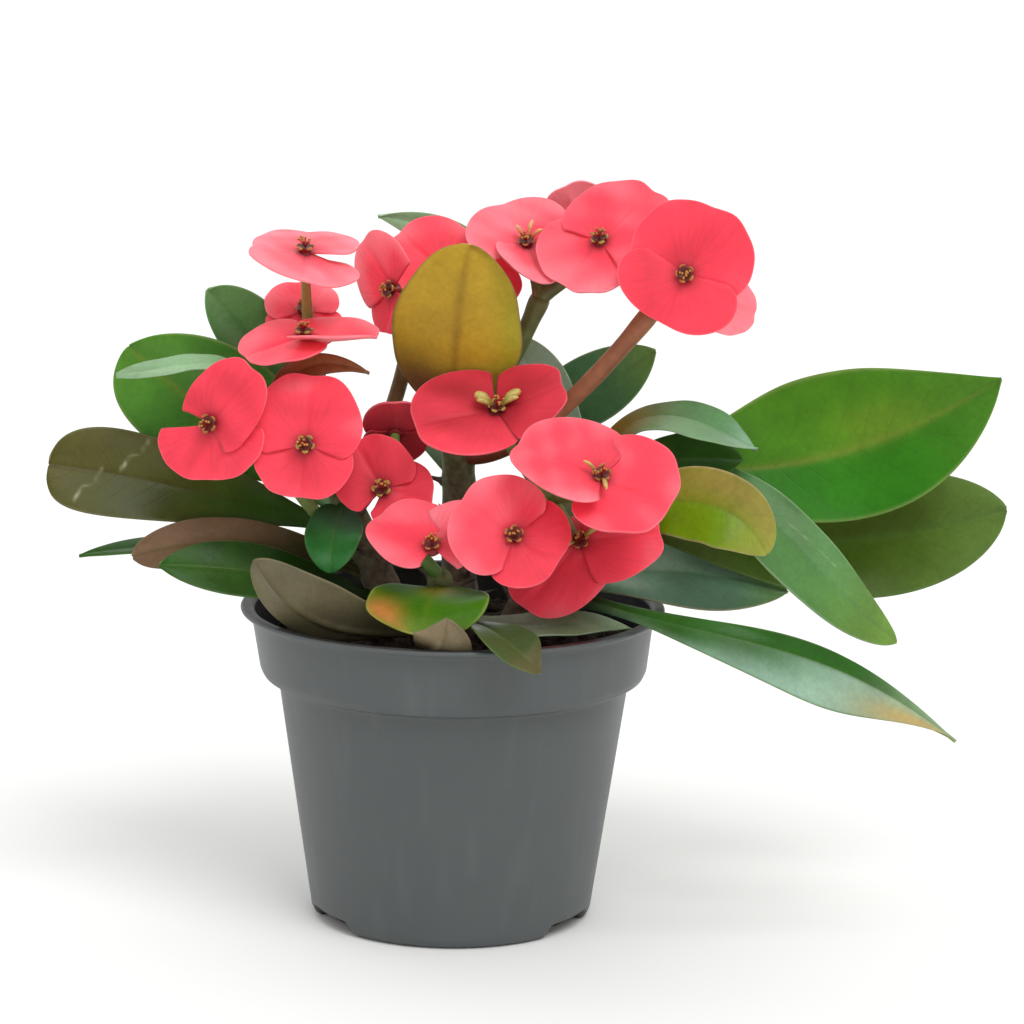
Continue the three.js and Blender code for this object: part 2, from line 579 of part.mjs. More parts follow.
/** The main limb of a flower stalk, from its stem's axis over the bend to the fork. */
function stalkCurve([stem, place, bend, fork]) {
  return new THREE.QuadraticBezierCurve3(stemCurves[stem].getPointAt(place), vec(bend), vec(fork));
}

/** A branch from the fork to a bloom, meeting the bloom square from behind. */
function branchCurve(row, bloom) {
  const fork = vec(row[3]);
  const centre = vec(bloom[0]);
  const start = stalkCurve(row).getTangent(1);
  const reach = fork.distanceTo(centre) * BRANCH.bend;
  const behind = centre.clone().addScaledVector(bloomAxes(bloom).out, -reach);
  const aim = behind.clone().sub(fork).normalize().add(start).normalize();
  return new THREE.CubicBezierCurve3(
    fork.clone().addScaledVector(start, -BRANCH.sunk),
    fork.clone().addScaledVector(aim, reach * BRANCH.lift),
    behind,
    centre
  );
}

/**
 * A branch that ends in the small cup in the middle of a bloom: a neck, a flare whose five corners
 * are the glands, and a tuft of stamens.
 */
function branchGeometry(row, bloom) {
  const curve = branchCurve(row, bloom);
  const start = row[5];
  const rings = barRings(curve, (t) => start + (CUP.neck - start) * t, CUP.sides, CUP.steps);
  const centre = vec(bloom[0]);
  const { out } = bloomAxes(bloom);
  const side = rings[CUP.steps][0].clone().sub(centre).normalize();
  const levels = [
    [CUP.height * 0.35, CUP.neck], [CUP.height * 0.75, CUP.gland], [CUP.height, CUP.gland * 0.7],
    [CUP.height + CUP.tuft, CUP.tip],
  ];
  for (const [height, radius] of levels) {
    const middle = centre.clone().addScaledVector(out, height);
    rings.push(ringOf(middle, side, out.clone().cross(side), radius, CUP.sides));
  }
  return loftGeometry(rings);
}

/** A whole flower stalk: the limb, and a branch with its cup for each bloom. */
function stalkSolid(row) {
  const [, , , , start, end, blooms] = row;
  const rings = barRings(stalkCurve(row), (t) => start + (end - start) * t, LIMB.sides, LIMB.steps);
  const branches = blooms.map((name) => branchGeometry(row, BLOOMS[name]));
  return joined([loftGeometry(rings), ...branches].map(solidOf));
}

// ---------------------------------------------------------------- the part

const group = new THREE.Group();

function addPiece(name, solid, color, roughness) {
  const material = new THREE.MeshStandardMaterial({ color, roughness, metalness: 0 });
  const mesh = new THREE.Mesh(geometryOf(solid), material);
  mesh.name = name;
  group.add(mesh);
}

const stemRoom = stemsSolid(GAP);
addPiece('pot', potSolid(), 0x5d6262, 0.45);
addPiece('soil', soilSolid().subtract(stemRoom), 0x2a211b, 0.95);
addPiece('stems', stemsSolid(0), 0x6b5f4c, 0.8);

for (const [name, row] of Object.entries(STALKS)) {
  const color = row[7] === 'brown' ? 0x7a4526 : 0x6f8a3c;
  addPiece(name, largestOf(stalkSolid(row).subtract(stemRoom)), color, 0.5);
  for (const bloom of row[6]) {
    addPiece(bloom, bloomSolid(BLOOMS[bloom]), 0xf0505c, 0.55);
  }
}

for (const [name, row] of Object.entries(LEAVES)) {
  addPiece(name, largestOf(solidOf(leafGeometry(row)).subtract(stemRoom)), TINTS[row[11]], 0.4);
}

export default group;
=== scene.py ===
# %% [markdown]
# # A crown of thorns in its nursery pot
#
# The object is a flowering Euphorbia milii hybrid, about 27 cm across, in a grey moulded pot of
# 12 cm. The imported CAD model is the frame: it says where each piece is. Each cell below gives one
# kind of piece its finer surface or its finish. Lengths are in millimetres until a mesh is made.

# %% The frame
import math

import bpy
import numpy as np
from mathutils import Matrix, Vector


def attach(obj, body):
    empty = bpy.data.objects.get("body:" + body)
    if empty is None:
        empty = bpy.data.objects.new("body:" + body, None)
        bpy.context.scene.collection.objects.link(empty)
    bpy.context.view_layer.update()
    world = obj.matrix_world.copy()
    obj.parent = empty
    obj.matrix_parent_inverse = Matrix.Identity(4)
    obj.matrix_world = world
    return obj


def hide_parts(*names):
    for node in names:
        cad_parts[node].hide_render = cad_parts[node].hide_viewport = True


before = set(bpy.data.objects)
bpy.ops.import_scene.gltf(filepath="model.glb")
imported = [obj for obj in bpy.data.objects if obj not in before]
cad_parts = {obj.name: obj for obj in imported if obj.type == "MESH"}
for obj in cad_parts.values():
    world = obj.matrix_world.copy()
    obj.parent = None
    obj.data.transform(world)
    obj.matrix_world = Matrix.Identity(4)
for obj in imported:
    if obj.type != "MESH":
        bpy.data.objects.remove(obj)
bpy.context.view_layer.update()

MM = 0.001

# %% [markdown]
# ## Camera
#
# A pot plant is photographed from about a metre away with a long lens, slightly from above, so
# that the pot's rim shows as a narrow oval. The camera is placed by three turns: pan about the
# vertical, tilt below the horizon and roll about the line of sight.

# %% Camera
CAMERA_PLACE = (0.0, -1051.4, 323.4)
CAMERA_TURNS = np.radians([0.86, 11.19, 0.84])  # pan, tilt, roll
LENS = 134.84  # mm, on a sensor 36 mm wide


def camera_matrix(place, turns):
    """World matrix of a camera: forward is (sin p cos t, cos p cos t, -sin t), then it rolls."""
    pan, tilt, roll = turns
    forward = np.array([math.sin(pan) * math.cos(tilt), math.cos(pan) * math.cos(tilt), -math.sin(tilt)])
    level = np.cross(forward, [0, 0, 1])
    level /= np.linalg.norm(level)
    upright = np.cross(level, forward)
    right = level * math.cos(roll) + upright * math.sin(roll)
    up = upright * math.cos(roll) - level * math.sin(roll)
    matrix = np.eye(4)
    matrix[:3, :3] = np.stack([right, up, -forward], axis=1)
    matrix[:3, 3] = np.array(place) * MM
    return Matrix(matrix.tolist())


camera = bpy.data.objects.new("camera", bpy.data.cameras.new("camera"))
camera.data.sensor_width = 36
camera.data.lens = LENS
camera.data.clip_end = 40
camera.matrix_world = camera_matrix(CAMERA_PLACE, CAMERA_TURNS)
bpy.context.scene.collection.objects.link(camera)
bpy.context.scene.camera = camera
bpy.context.scene.view_settings.view_transform = "Standard"
print("camera at", [round(x, 3) for x in camera.matrix_world.translation])

# %% [markdown]
# ## Small tools for materials
#
# Colours are written as the sRGB hex values that a paint chart gives. A shader works with linear
# light, so one function turns them. A second one adds a node with its settings and its links, and
# every material below is made with it.

# %% Colour and node helpers
def linear(code):
    """An sRGB hex colour such as '5d6262' as linear red, green, blue, by the sRGB curve."""
    srgb = np.array([int(code[k:k + 2], 16) for k in (0, 2, 4)]) / 255
    return np.where(srgb <= 0.04045, srgb / 12.92, ((srgb + 0.055) / 1.055) ** 2.4)


def rgba(code):
    return (*linear(code), 1.0)


def add(tree, kind, inputs=None, **settings):
    """Adds one shader node; an input is a value, a node's output or a node for its first output."""
    node = tree.nodes.new("ShaderNode" + kind)
    for name, value in settings.items():
        setattr(node, name, value)
    for key, value in (inputs or {}).items():
        if isinstance(value, bpy.types.Node):
            value = value.outputs[0]
        if isinstance(value, bpy.types.NodeSocket):
            tree.links.new(value, node.inputs[key])
        else:
            node.inputs[key].default_value = value
    return node


def finish_of(name, **sockets):
    """A new material with one Principled shader; returns the material, its tree and the shader."""
    material = bpy.data.materials.new(name)
    material.use_nodes = True
    tree = material.node_tree
    tree.nodes.clear()
    shader = add(tree, "BsdfPrincipled", {k.replace("_", " "): v for k, v in sockets.items()})
    add(tree, "OutputMaterial", {"Surface": shader})
    return material, tree, shader


def mottle_paint(tree, shader, noise, depths):
    """Base colour: the piece's own paint, made deeper and paler by a noise. The depths are the
    noise's low and high end and what the paint is multiplied by there."""
    place = add(tree, "TexCoord").outputs["Object"]
    tint = add(tree, "Attribute", attribute_name="paint").outputs["Color"]
    pattern = add(tree, "TexNoise", {"Vector": place, **noise})
    depth = add(tree, "MapRange", {0: pattern, **dict(enumerate(depths, 1))})
    colour = add(tree, "VectorMath", {0: tint, "Scale": depth}, operation="SCALE")
    tree.links.new(colour.outputs[0], shader.inputs["Base Color"])
    return place, pattern


# %% [markdown]
# ## Floor and light
#
# The plant stands on a pale paper sweep under a large soft box, with a white room all round. The
# floor is far wider than the object, so that its end never shows.

# %% Floor and light
paper, tree, shader = finish_of("matt_paper", Base_Color=rgba("f4f4f2"), Roughness=0.9)
grain = add(tree, "TexNoise", {"Vector": add(tree, "TexCoord").outputs["Object"], "Scale": 3.0})
shade = add(tree, "MapRange", {0: grain, 3: 0.88, 4: 0.90})
tree.links.new(shade.outputs[0], shader.inputs["Roughness"])

floor_mesh = bpy.data.meshes.new("floor")
floor_mesh.from_pydata([(-9, -9, 0), (9, -9, 0), (9, 9, 0), (-9, 9, 0)], [], [(0, 1, 2, 3)])
floor = bpy.data.objects.new("floor", floor_mesh)
floor.data.materials.append(paper)
bpy.context.scene.collection.objects.link(floor)

world = bpy.data.worlds.new("white_room")
world.use_nodes = True
world.node_tree.nodes["Background"].inputs["Color"].default_value = (1.0, 1.0, 1.0, 1.0)
world.node_tree.nodes["Background"].inputs["Strength"].default_value = 0.78
bpy.context.scene.world = world

SUNS = {  # where the light comes from, how soft it is in degrees, and its strength
    "key": ((0.3, -0.6, 0.95), 34, 1.35),
    "back": ((-0.4, 0.9, 1.1), 60, 0.5),
}
for name, (towards, softness, strength) in SUNS.items():
    lamp = bpy.data.lights.new(name, "SUN")
    lamp.angle = math.radians(softness)
    lamp.energy = strength
    sun = bpy.data.objects.new(name, lamp)
    sun.matrix_world = Vector(towards).to_track_quat("Z", "Y").to_matrix().to_4x4()
    bpy.context.scene.collection.objects.link(sun)
print("lit by", ", ".join(SUNS))

# %% [markdown]
# ## Geometry in whole arrays
#
# Every piece is a grid of points: rings along a line for the pot, the stems and the stalks, and
# thin blades for leaves and bracts. The helpers work on the last axis, x, y, z, of arrays of any
# shape, so that a formula is written once for all the points of a piece.

# %% Vectors and curves
def unit(a):
    return a / np.maximum(np.linalg.norm(a, axis=-1, keepdims=True), 1e-12)


def facing(azimuth, elevation):
    """Unit vector towards an azimuth (0 = front, 90 = right) and an elevation, in degrees."""
    a, e = math.radians(azimuth), math.radians(elevation)
    return np.array([math.sin(a) * math.cos(e), -math.cos(a) * math.cos(e), math.sin(e)])


def square_to(a, t):
    """The part of a that stands square to the unit vectors t, made unit vectors."""
    return unit(a - (a * t).sum(-1, keepdims=True) * t)


def turned(a, axis, angle):
    """a turned about unit axes by angles: a cos + (axis x a) sin, for a square to its axis."""
    angle = np.asarray(angle)[..., None]
    return a * np.cos(angle) + np.cross(axis, a) * np.sin(angle)


def bezier(points, t):
    """Points and unit tangents of a Bezier curve at t, by mixing neighbours until one is left."""
    layer = np.repeat(np.asarray(points, float)[:, None, :], len(t), axis=1)
    t = np.asarray(t, float)[:, None]
    while len(layer) > 1:
        last = layer
        layer = layer[:-1] * (1 - t) + layer[1:] * t
    return layer[0], unit(last[1] - last[0])


def at_length(points, share):
    """The values of t at which shares of a curve's whole length have passed."""
    t = np.linspace(0, 1, 201)
    places = bezier(points, t)[0]
    gone = np.concatenate([[0], np.cumsum(np.linalg.norm(np.diff(places, axis=0), axis=1))])
    return np.interp(np.asarray(share) * gone[-1], gone, t)


def smooth(a, b, x):
    """0 below a, 1 above b, and a smooth S between them."""
    s = np.clip((x - a) / (b - a), 0, 1)
    return s * s * (3 - 2 * s)


def ripple(x, y, z=0.0, size=10.0, seed=0):
    """Soft pattern of about -1 to 1: six sine waves of a length near size, in seeded directions."""
    rng = np.random.default_rng(seed)
    waves = rng.normal(size=(6, 3)) * (2 * math.pi / size / 1.7)
    starts = rng.uniform(0, 2 * math.pi, 6)
    total = sum(np.sin(w[0] * x + w[1] * y + w[2] * z + s) for w, s in zip(waves, starts))
    return total / 2.4


# %% Skins over grids
def skin(rings):
    """Points and faces of closed bars: rings has the axes bar, ring, side, xyz. Quads join each
    ring to the next, and a flat face closes both ends."""
    bars, count, sides = rings.shape[:3]
    index = np.arange(bars * count * sides).reshape(bars, count, sides)
    after = np.roll(index, -1, axis=2)
    quads = np.stack([index[:, :-1], after[:, :-1], after[:, 1:], index[:, 1:]], axis=-1)
    ends = np.concatenate([index[:, 0, ::-1], index[:, -1]])
    return rings.reshape(-1, 3), [quads.reshape(-1, 4), ends]


def blade(middle, thickness):
    """Points, faces and side of a thin closed blade. Two skins stand half the thickness above and
    below a grid of middle points and share its rim, where the thickness has to be 0."""
    along = np.gradient(middle, axis=0)
    across = np.gradient(middle, axis=1)
    step = unit(np.cross(along, across)) * thickness[..., None] / 2
    rows, cols = middle.shape[:2]
    inner = np.zeros((rows, cols), bool)
    inner[1:-1, 1:-1] = True
    top = np.arange(rows * cols).reshape(rows, cols)
    under = top.copy()
    under[inner] = rows * cols + np.arange(inner.sum())
    a, b, c, d = (g[r, s] for g, r, s in [
        (top, slice(None, -1), slice(None, -1)), (top, slice(1, None), slice(None, -1)),
        (top, slice(1, None), slice(1, None)), (top, slice(None, -1), slice(1, None))])
    upper = np.stack([a, b, c, d], axis=-1).reshape(-1, 4)
    a, b, c, d = (under[:-1, :-1], under[1:, :-1], under[1:, 1:], under[:-1, 1:])
    lower = np.stack([d, c, b, a], axis=-1).reshape(-1, 4)
    points = np.concatenate([(middle + step).reshape(-1, 3), (middle - step)[inner]])
    side = np.concatenate([inner.ravel().astype(float), -np.ones(inner.sum())])
    return points, [np.concatenate([upper, lower])], side, inner


def on_both(values, inner):
    """Values of the grid's points in the order of a blade's points."""
    flat = values.reshape(inner.size, *values.shape[2:])
    return np.concatenate([flat, flat[inner.ravel()]])


def rims_to_zero(rows, cols, sharpness=0.5):
    """Thickness share from 1 inside to 0 at the four rims of a grid, rounded like a pillow."""
    i = np.minimum(np.arange(rows), np.arange(rows)[::-1]) / (rows / 40)
    j = np.minimum(np.arange(cols), np.arange(cols)[::-1]) / (cols / 24)
    return (np.clip(i, 0, 1)[:, None] * np.clip(j, 0, 1)[None, :]) ** sharpness


# %% Meshes from arrays
made = []
ATTRIBUTE_KINDS = {1: ("FLOAT", "value"), 3: ("FLOAT_VECTOR", "vector"), 4: ("FLOAT_COLOR", "color")}


def make_piece(name, points, faces, material, slot=None, stands_for=(), **patterns):
    """A piece of the object from points in millimetres and arrays of faces, riding on the root.
    Each pattern is an attribute on its points: a colour, a vector or one number for each."""
    mesh = bpy.data.meshes.new(name)
    mesh.vertices.add(len(points))
    mesh.vertices.foreach_set("co", (np.asarray(points) * MM).astype(np.float32).ravel())
    corners = np.concatenate([f.ravel() for f in faces])
    sizes = np.concatenate([np.full(len(f), f.shape[1]) for f in faces])
    mesh.loops.add(len(corners))
    mesh.loops.foreach_set("vertex_index", corners.astype(np.int32))
    mesh.polygons.add(len(sizes))
    mesh.polygons.foreach_set("loop_start", (np.cumsum(sizes) - sizes).astype(np.int32))
    mesh.update(calc_edges=True)
    mesh.shade_smooth()
    for key, values in patterns.items():
        values = np.asarray(values, np.float32)
        kind, field = ATTRIBUTE_KINDS[1 if values.ndim == 1 else values.shape[1]]
        mesh.attributes.new(key, kind, "POINT").data.foreach_set(field, values.ravel())
    for each in material if isinstance(material, (list, tuple)) else [material]:
        mesh.materials.append(each)
    piece = bpy.data.objects.new(name, mesh)
    bpy.context.scene.collection.objects.link(piece)
    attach(piece, "root")
    if stands_for:
        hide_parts(*([stands_for] if isinstance(stands_for, str) else stands_for))
    made.append((name, int((sizes - 2).sum())))
    return piece


def coloured(values):
    """Linear colours with an alpha of 1 for a colour attribute."""
    return np.concatenate([values, np.ones((*values.shape[:-1], 1))], axis=-1)


# %% [markdown]
# ## The pot
#
# A nursery pot is blown or drawn from thin black or grey polypropylene: a tapering body, a step,
# an upright band and a rolled lip, with drain notches pressed into the foot. It is one profile
# turned about the vertical. Corners are softened by small arcs, because no moulded edge is sharp,
# and the notches lift the foot's edge where they are.

# %% Polypropylene, thermoformed and satin
pot_finish, tree, shader = finish_of("moulded_polypropylene", Roughness=0.42, IOR=1.49)
place = add(tree, "TexCoord").outputs["Object"]
inside = add(tree, "Attribute", attribute_name="inside").outputs["Fac"]
cloud = add(tree, "TexNoise", {"Vector": place, "Scale": 22.0, "Detail": 5.0, "Roughness": 0.6})
outer = add(tree, "Mix", {0: cloud, 6: rgba("45494a"), 7: rgba("515656")}, data_type="RGBA")
both = add(tree, "Mix", {0: inside, 6: outer.outputs[2], 7: rgba("17181a")}, data_type="RGBA")
stretch = add(tree, "Mapping", {"Vector": place, "Scale": (1.0, 1.0, 0.12)})
streaks = add(tree, "TexNoise", {"Vector": stretch, "Scale": 160.0, "Detail": 3.0})
marks = add(tree, "MapRange", {0: streaks, 1: 0.55, 2: 0.85, 3: 0.0, 4: 0.08})
worn = add(tree, "Mix", {0: marks, 6: both.outputs[2], 7: rgba("8d9292")}, data_type="RGBA")
tree.links.new(worn.outputs[2], shader.inputs["Base Color"])
gloss = add(tree, "MapRange", {0: cloud, 1: 0.3, 2: 0.7, 3: 0.36, 4: 0.5})
tree.links.new(gloss.outputs[0], shader.inputs["Roughness"])
# the mould's matt blast is about 0.1 mm; it is drawn at 0.6 mm, so that it shows
pitting = add(tree, "TexNoise", {"Vector": place, "Scale": 1600.0, "Detail": 2.0})
dents = add(tree, "Bump", {"Height": pitting, "Strength": 0.08, "Distance": 0.0004})
tree.links.new(dents.outputs[0], shader.inputs["Normal"])
print("finish:", pot_finish.name)

# %% The pot's surface
POT_TURN = 224  # faces round the pot
OUTSIDE = [
    (0.6, 0), (37.2, 0), (38.7, 0.8), (39.7, 2.5), (49.2, 67.6), (50.2, 68.6), (53.4, 69.6),
    (54.4, 71.7), (56.8, 86.2), (57.5, 87.2), (59.6, 87.6), (60, 88.3), (59.5, 89),
]
INSIDE = [
    (57, 89), (55.9, 88), (55.8, 86.2), (53.4, 72.1), (52.4, 70.8), (49.1, 69.7), (48.2, 67.6),
    (38.7, 3), (37.8, 1.4), (0.6, 1.4),
]
NOTCHES = [89, 209, 329]  # azimuth of each from +X, in degrees
NOTCH_HALF, NOTCH_HEIGHT, FLOOR = 10.2, 4.1, 1.4
LIP_PRESS = 0.014  # share of its radius by which the lip is out of round


def rounded(profile, radius=0.5, steps=4, longest=2.0):
    """A polyline with an arc of Bezier points at each corner and no stretch over the longest."""
    p = np.array(profile, float)
    back, ahead = p[:-2] - p[1:-1], p[2:] - p[1:-1]
    reach = [np.minimum(radius, 0.45 * np.linalg.norm(d, axis=1))[:, None] for d in (back, ahead)]
    first, last = p[1:-1] + unit(back) * reach[0], p[1:-1] + unit(ahead) * reach[1]
    t = np.linspace(0, 1, steps)[None, :, None]
    arcs = first[:, None] * (1 - t) ** 2 + 2 * p[1:-1][:, None] * t * (1 - t) + last[:, None] * t ** 2
    line = np.concatenate([p[:1], arcs.reshape(-1, 2), p[-1:]])
    gone = np.concatenate([[0], np.cumsum(np.linalg.norm(np.diff(line, axis=0), axis=1))])
    extra = np.arange(longest, gone[-1], longest)
    extra = extra[np.abs(extra[:, None] - gone[None]).min(axis=1) > 0.3 * longest]
    stations = np.sort(np.concatenate([gone, extra]))
    return np.stack([np.interp(stations, gone, line[:, k]) for k in (0, 1)], axis=1)


def turned_rings(profile, count):
    """A profile of radius and height carried round the vertical: r cos, r sin, z."""
    turn = np.arange(count) * 2 * math.pi / count
    r, z = profile[:, :1], profile[:, 1:]
    return np.stack([r * np.cos(turn), r * np.sin(turn), z + 0 * turn], axis=-1)


line = rounded(OUTSIDE + INSIDE)
rings = turned_rings(line, POT_TURN)
azimuth = np.degrees(np.arctan2(rings[..., 1], rings[..., 0]))
radius = np.hypot(rings[..., 0], rings[..., 1])
across = [radius * np.radians((azimuth - n + 180) % 360 - 180) for n in NOTCHES]
notch = sum(1 - smooth(NOTCH_HALF - 1.2, NOTCH_HALF + 1.2, np.abs(a)) for a in across)
notch *= smooth(33.2, 34.6, radius)
floor_lift = notch * np.clip(NOTCH_HEIGHT - rings[..., 2], 0, None)
inner_lift = notch * np.clip(NOTCH_HEIGHT + FLOOR - rings[..., 2], 0, None)
within = (np.arange(len(line)) > len(line) * 0.6)[:, None] & (rings[..., 2] < 8)
rings[..., 2] += np.where(within, inner_lift, floor_lift)
# a thin lip is never quite round: it is pressed in a little on the right and at the back
soft = smooth(66, 88, rings[..., 2]) * (0.5 + 0.5 * np.cos(np.radians(azimuth) - 0.15)) ** 3
rings[..., :2] *= (1 - LIP_PRESS * soft)[..., None]
lip_top = np.argmax(line[:, 1] > 88.9)
dark = smooth(lip_top - 3, lip_top + 2, np.arange(len(line)))[:, None] + 0 * azimuth
points, faces = skin(rings[None])
pot = make_piece("nursery_pot", points, faces, pot_finish, "pot_plastic", "pot", inside=dark.ravel())
print("pot:", made[-1])

# %% [markdown]
# ## The peat
#
# Potting peat is a dark brown, fibrous, crumbly mass. Its surface repeats the CAD model's three
# crossed waves and adds finer crumbs, and loose crumbs lie on it.

# %% Peat, sieved and damp
peat_finish, tree, shader = finish_of("damp_peat", Roughness=0.92, IOR=1.35)
place = add(tree, "TexCoord").outputs["Object"]
crumb = add(tree, "TexVoronoi", {"Vector": place, "Scale": 420.0})  # crumbs of 2 to 3 mm
fibre = add(tree, "TexNoise", {"Vector": place, "Scale": 900.0, "Detail": 6.0, "Roughness": 0.7})
shade = add(tree, "MapRange", {0: fibre, 1: 0.3, 2: 0.72})
brown = add(tree, "Mix", {0: shade, 6: rgba("120d0a"), 7: rgba("3d2e22")}, data_type="RGBA")
tree.links.new(brown.outputs[2], shader.inputs["Base Color"])
height = add(tree, "Math", {0: crumb.outputs["Distance"], 1: fibre}, operation="SUBTRACT")
rough = add(tree, "Bump", {"Height": height, "Strength": 0.8, "Distance": 0.0012})
tree.links.new(rough.outputs[0], shader.inputs["Normal"])

# %% The peat's surface and its loose crumbs
SOIL_TOP, LUMP, LUMP_REACH = 79.0, 1.3, 52


def soil_height(x, y):
    """Height of the peat: three crossed waves that fade out at the pot's wall."""
    small = np.sin(x / 5.1 + 1) * np.cos(y / 4.3)
    slanted = 0.6 * np.sin((x - y) / 3.2)
    broad = 0.5 * np.cos((x + 2 * y) / 7)
    edge = 1 - np.minimum(1, np.hypot(x, y) / LUMP_REACH) ** 4
    return SOIL_TOP + LUMP * (small + slanted + broad) * edge


rim = [(0.6, 1.75), (36.7, 1.95), (38.25, 3.6), (47.85, 67.7), (48.6, 70.1), (52.1, 71.4),
       (53.05, 72.6), (53.8, 77.4), (53.2, 78.6)]
inward = np.stack([np.linspace(52.6, 0.5, 64), np.full(64, SOIL_TOP)], axis=1)
rings = turned_rings(np.concatenate([rounded(rim, 0.4, 3, 6.0), inward]), 160)
x, y = rings[-64:, :, 0].copy(), rings[-64:, :, 1].copy()
fine = 0.45 * ripple(x, y, size=3.2, seed=4) + 0.3 * ripple(x, y, size=1.7, seed=5)
rings[-64:, :, 2] = soil_height(x, y) + fine * smooth(0, 6, 53 - np.hypot(x, y))
points, faces = skin(rings[None])
make_piece("peat", points, faces, peat_finish, "peat", "soil")

CRUMBS = 420
rng = np.random.default_rng(21)
spread, turn = 51 * np.sqrt(rng.uniform(0.02, 1, CRUMBS)), rng.uniform(0, 2 * math.pi, CRUMBS)
x, y = spread * np.cos(turn), spread * np.sin(turn)
seat = np.stack([x, y, soil_height(x, y) + 0.25], axis=1)
size = rng.uniform(0.5, 1.5, (CRUMBS, 1, 1, 1)) * rng.uniform(0.6, 1.4, (CRUMBS, 1, 1, 3))
levels = np.array([-0.96, -0.45, 0.35, 0.94])
ring = np.sqrt(1 - levels ** 2)[:, None]
angle = np.arange(6) * math.pi / 3
ball = np.stack([ring * np.cos(angle), ring * np.sin(angle), levels[:, None] + 0 * angle], axis=-1)
crumbs = ball[None] * size * (1 + 0.25 * rng.uniform(-1, 1, (CRUMBS, 4, 6, 1))) + seat[:, None, None]
points, faces = skin(crumbs)
make_piece("peat_crumbs", points, faces, peat_finish, "peat")
print("peat:", made[-2:])

# %% [markdown]
# ## Woody stems and thorns
#
# Four stems come from one crown under the peat. The bark is grey-brown and greener towards the
# tip, with thorns in a spiral where leaves once stood. A stem is a tube along a quadratic curve;
# a thorn is a small tube that narrows to a point. Their places repeat the CAD model's formulas.

# %% Bark and thorns
bark_finish, tree, shader = finish_of("corky_bark", Roughness=0.75, IOR=1.4)
_, cork = mottle_paint(tree, shader, {"Scale": 420.0, "Detail": 5.0, "Roughness": 0.65},
                       (0.35, 0.7, 0.55, 1.35))
ridge = add(tree, "Bump", {"Height": cork, "Strength": 0.5, "Distance": 0.0006})
tree.links.new(ridge.outputs[0], shader.inputs["Normal"])

# %% The stems' surface
STEMS = {  # start, bend and top, radius at the start and at the top
    "left": ([(-3, 1, 62), (-20, 0, 88), (-36, 4, 132)], 5.4, 4.4),
    "right": ([(4, 2, 62), (24, 4, 88), (40, 8, 134)], 5.4, 4.4),
    "back": ([(1, 6, 62), (2, 20, 100), (0, 13, 146)], 5.6, 4.4),
    "front": ([(0, -4, 62), (-4, -20, 82), (-4, -22, 104)], 4.6, 3.6),
}
BARK_SWELL = 0.035
THORN_LENGTH, THORN_SUNK, THORNS_A_STEM, THORN_SEED = 7.0, 2.4, 15, 11
THORN_FIRST, THORN_STRETCH, THORN_JITTER = 0.3, 0.64, 0.5  # where thorns stand, as shares of a stem
THORN_TURN, THORN_SWEEP = 137.5, 0.25  # degrees from one to the next, and how far each leans forwards
THORN_LOWEST, THORN_CLEAR = 83, 5  # lowest tip, and the distance kept from leaves and stalks


def tubes(paths, radii, sides):
    """Rings round paths: paths has the axes bar, point, xyz, and radii bar, point. The rings
    stand square to the path and are closed by the last axis' turn."""
    along = unit(np.gradient(paths, axis=1))
    mean = np.abs(along).mean(axis=1)
    helper = np.eye(3)[mean.argmin(axis=1)][:, None, :]
    x = square_to(helper + 0 * along, along)
    y = np.cross(along, x)
    turn = np.arange(sides) * 2 * math.pi / sides
    spoke = x[:, :, None] * np.cos(turn)[:, None] + y[:, :, None] * np.sin(turn)[:, None]
    return paths[:, :, None] + spoke * np.asarray(radii)[:, :, None, None]


def stem_point(stem, share):
    """Place and direction at a share of a stem's length."""
    curve = STEMS[stem][0]
    return bezier(curve, at_length(curve, np.atleast_1d(share)))


def stem_radius(stem, share):
    """An even taper that rounds off over the last tenth."""
    _, start, end = STEMS[stem]
    dome = np.maximum(0, (share - 0.9) / 0.1)
    return (start + (end - start) * share) * np.sqrt(np.maximum(0.012, 1 - dome ** 2))


def stem_rings(stem):
    """A tube with shallow swellings: its radius times 1 + BARK_SWELL of a seeded pattern."""
    share = np.concatenate([np.linspace(0, 0.9, 90), 0.9 + 0.1 * np.sin(np.linspace(0.1, 1.5708, 12))])
    path, _ = stem_point(stem, share)
    rings = tubes(path[None], stem_radius(stem, share)[None], 28)
    swell = 1 + BARK_SWELL * ripple(rings[..., 0], rings[..., 1], rings[..., 2], 7, len(stem))
    axis = path[None, :, None]
    return axis + (rings - axis) * swell[..., None], share


def lcg(seed, count):
    """The same evenly spread numbers as the CAD source draws."""
    state, drawn = seed, []
    for _ in range(count):
        state = (state * 1664525 + 1013904223) % 4294967296
        drawn.append(state / 4294967296)
    return np.array(drawn)


# %% [markdown]
# ## The plant in tables
#
# Blooms, flower stalks and leaves are rows of numbers, the same as in the CAD source, so that each
# finer piece lies in its CAD solid.

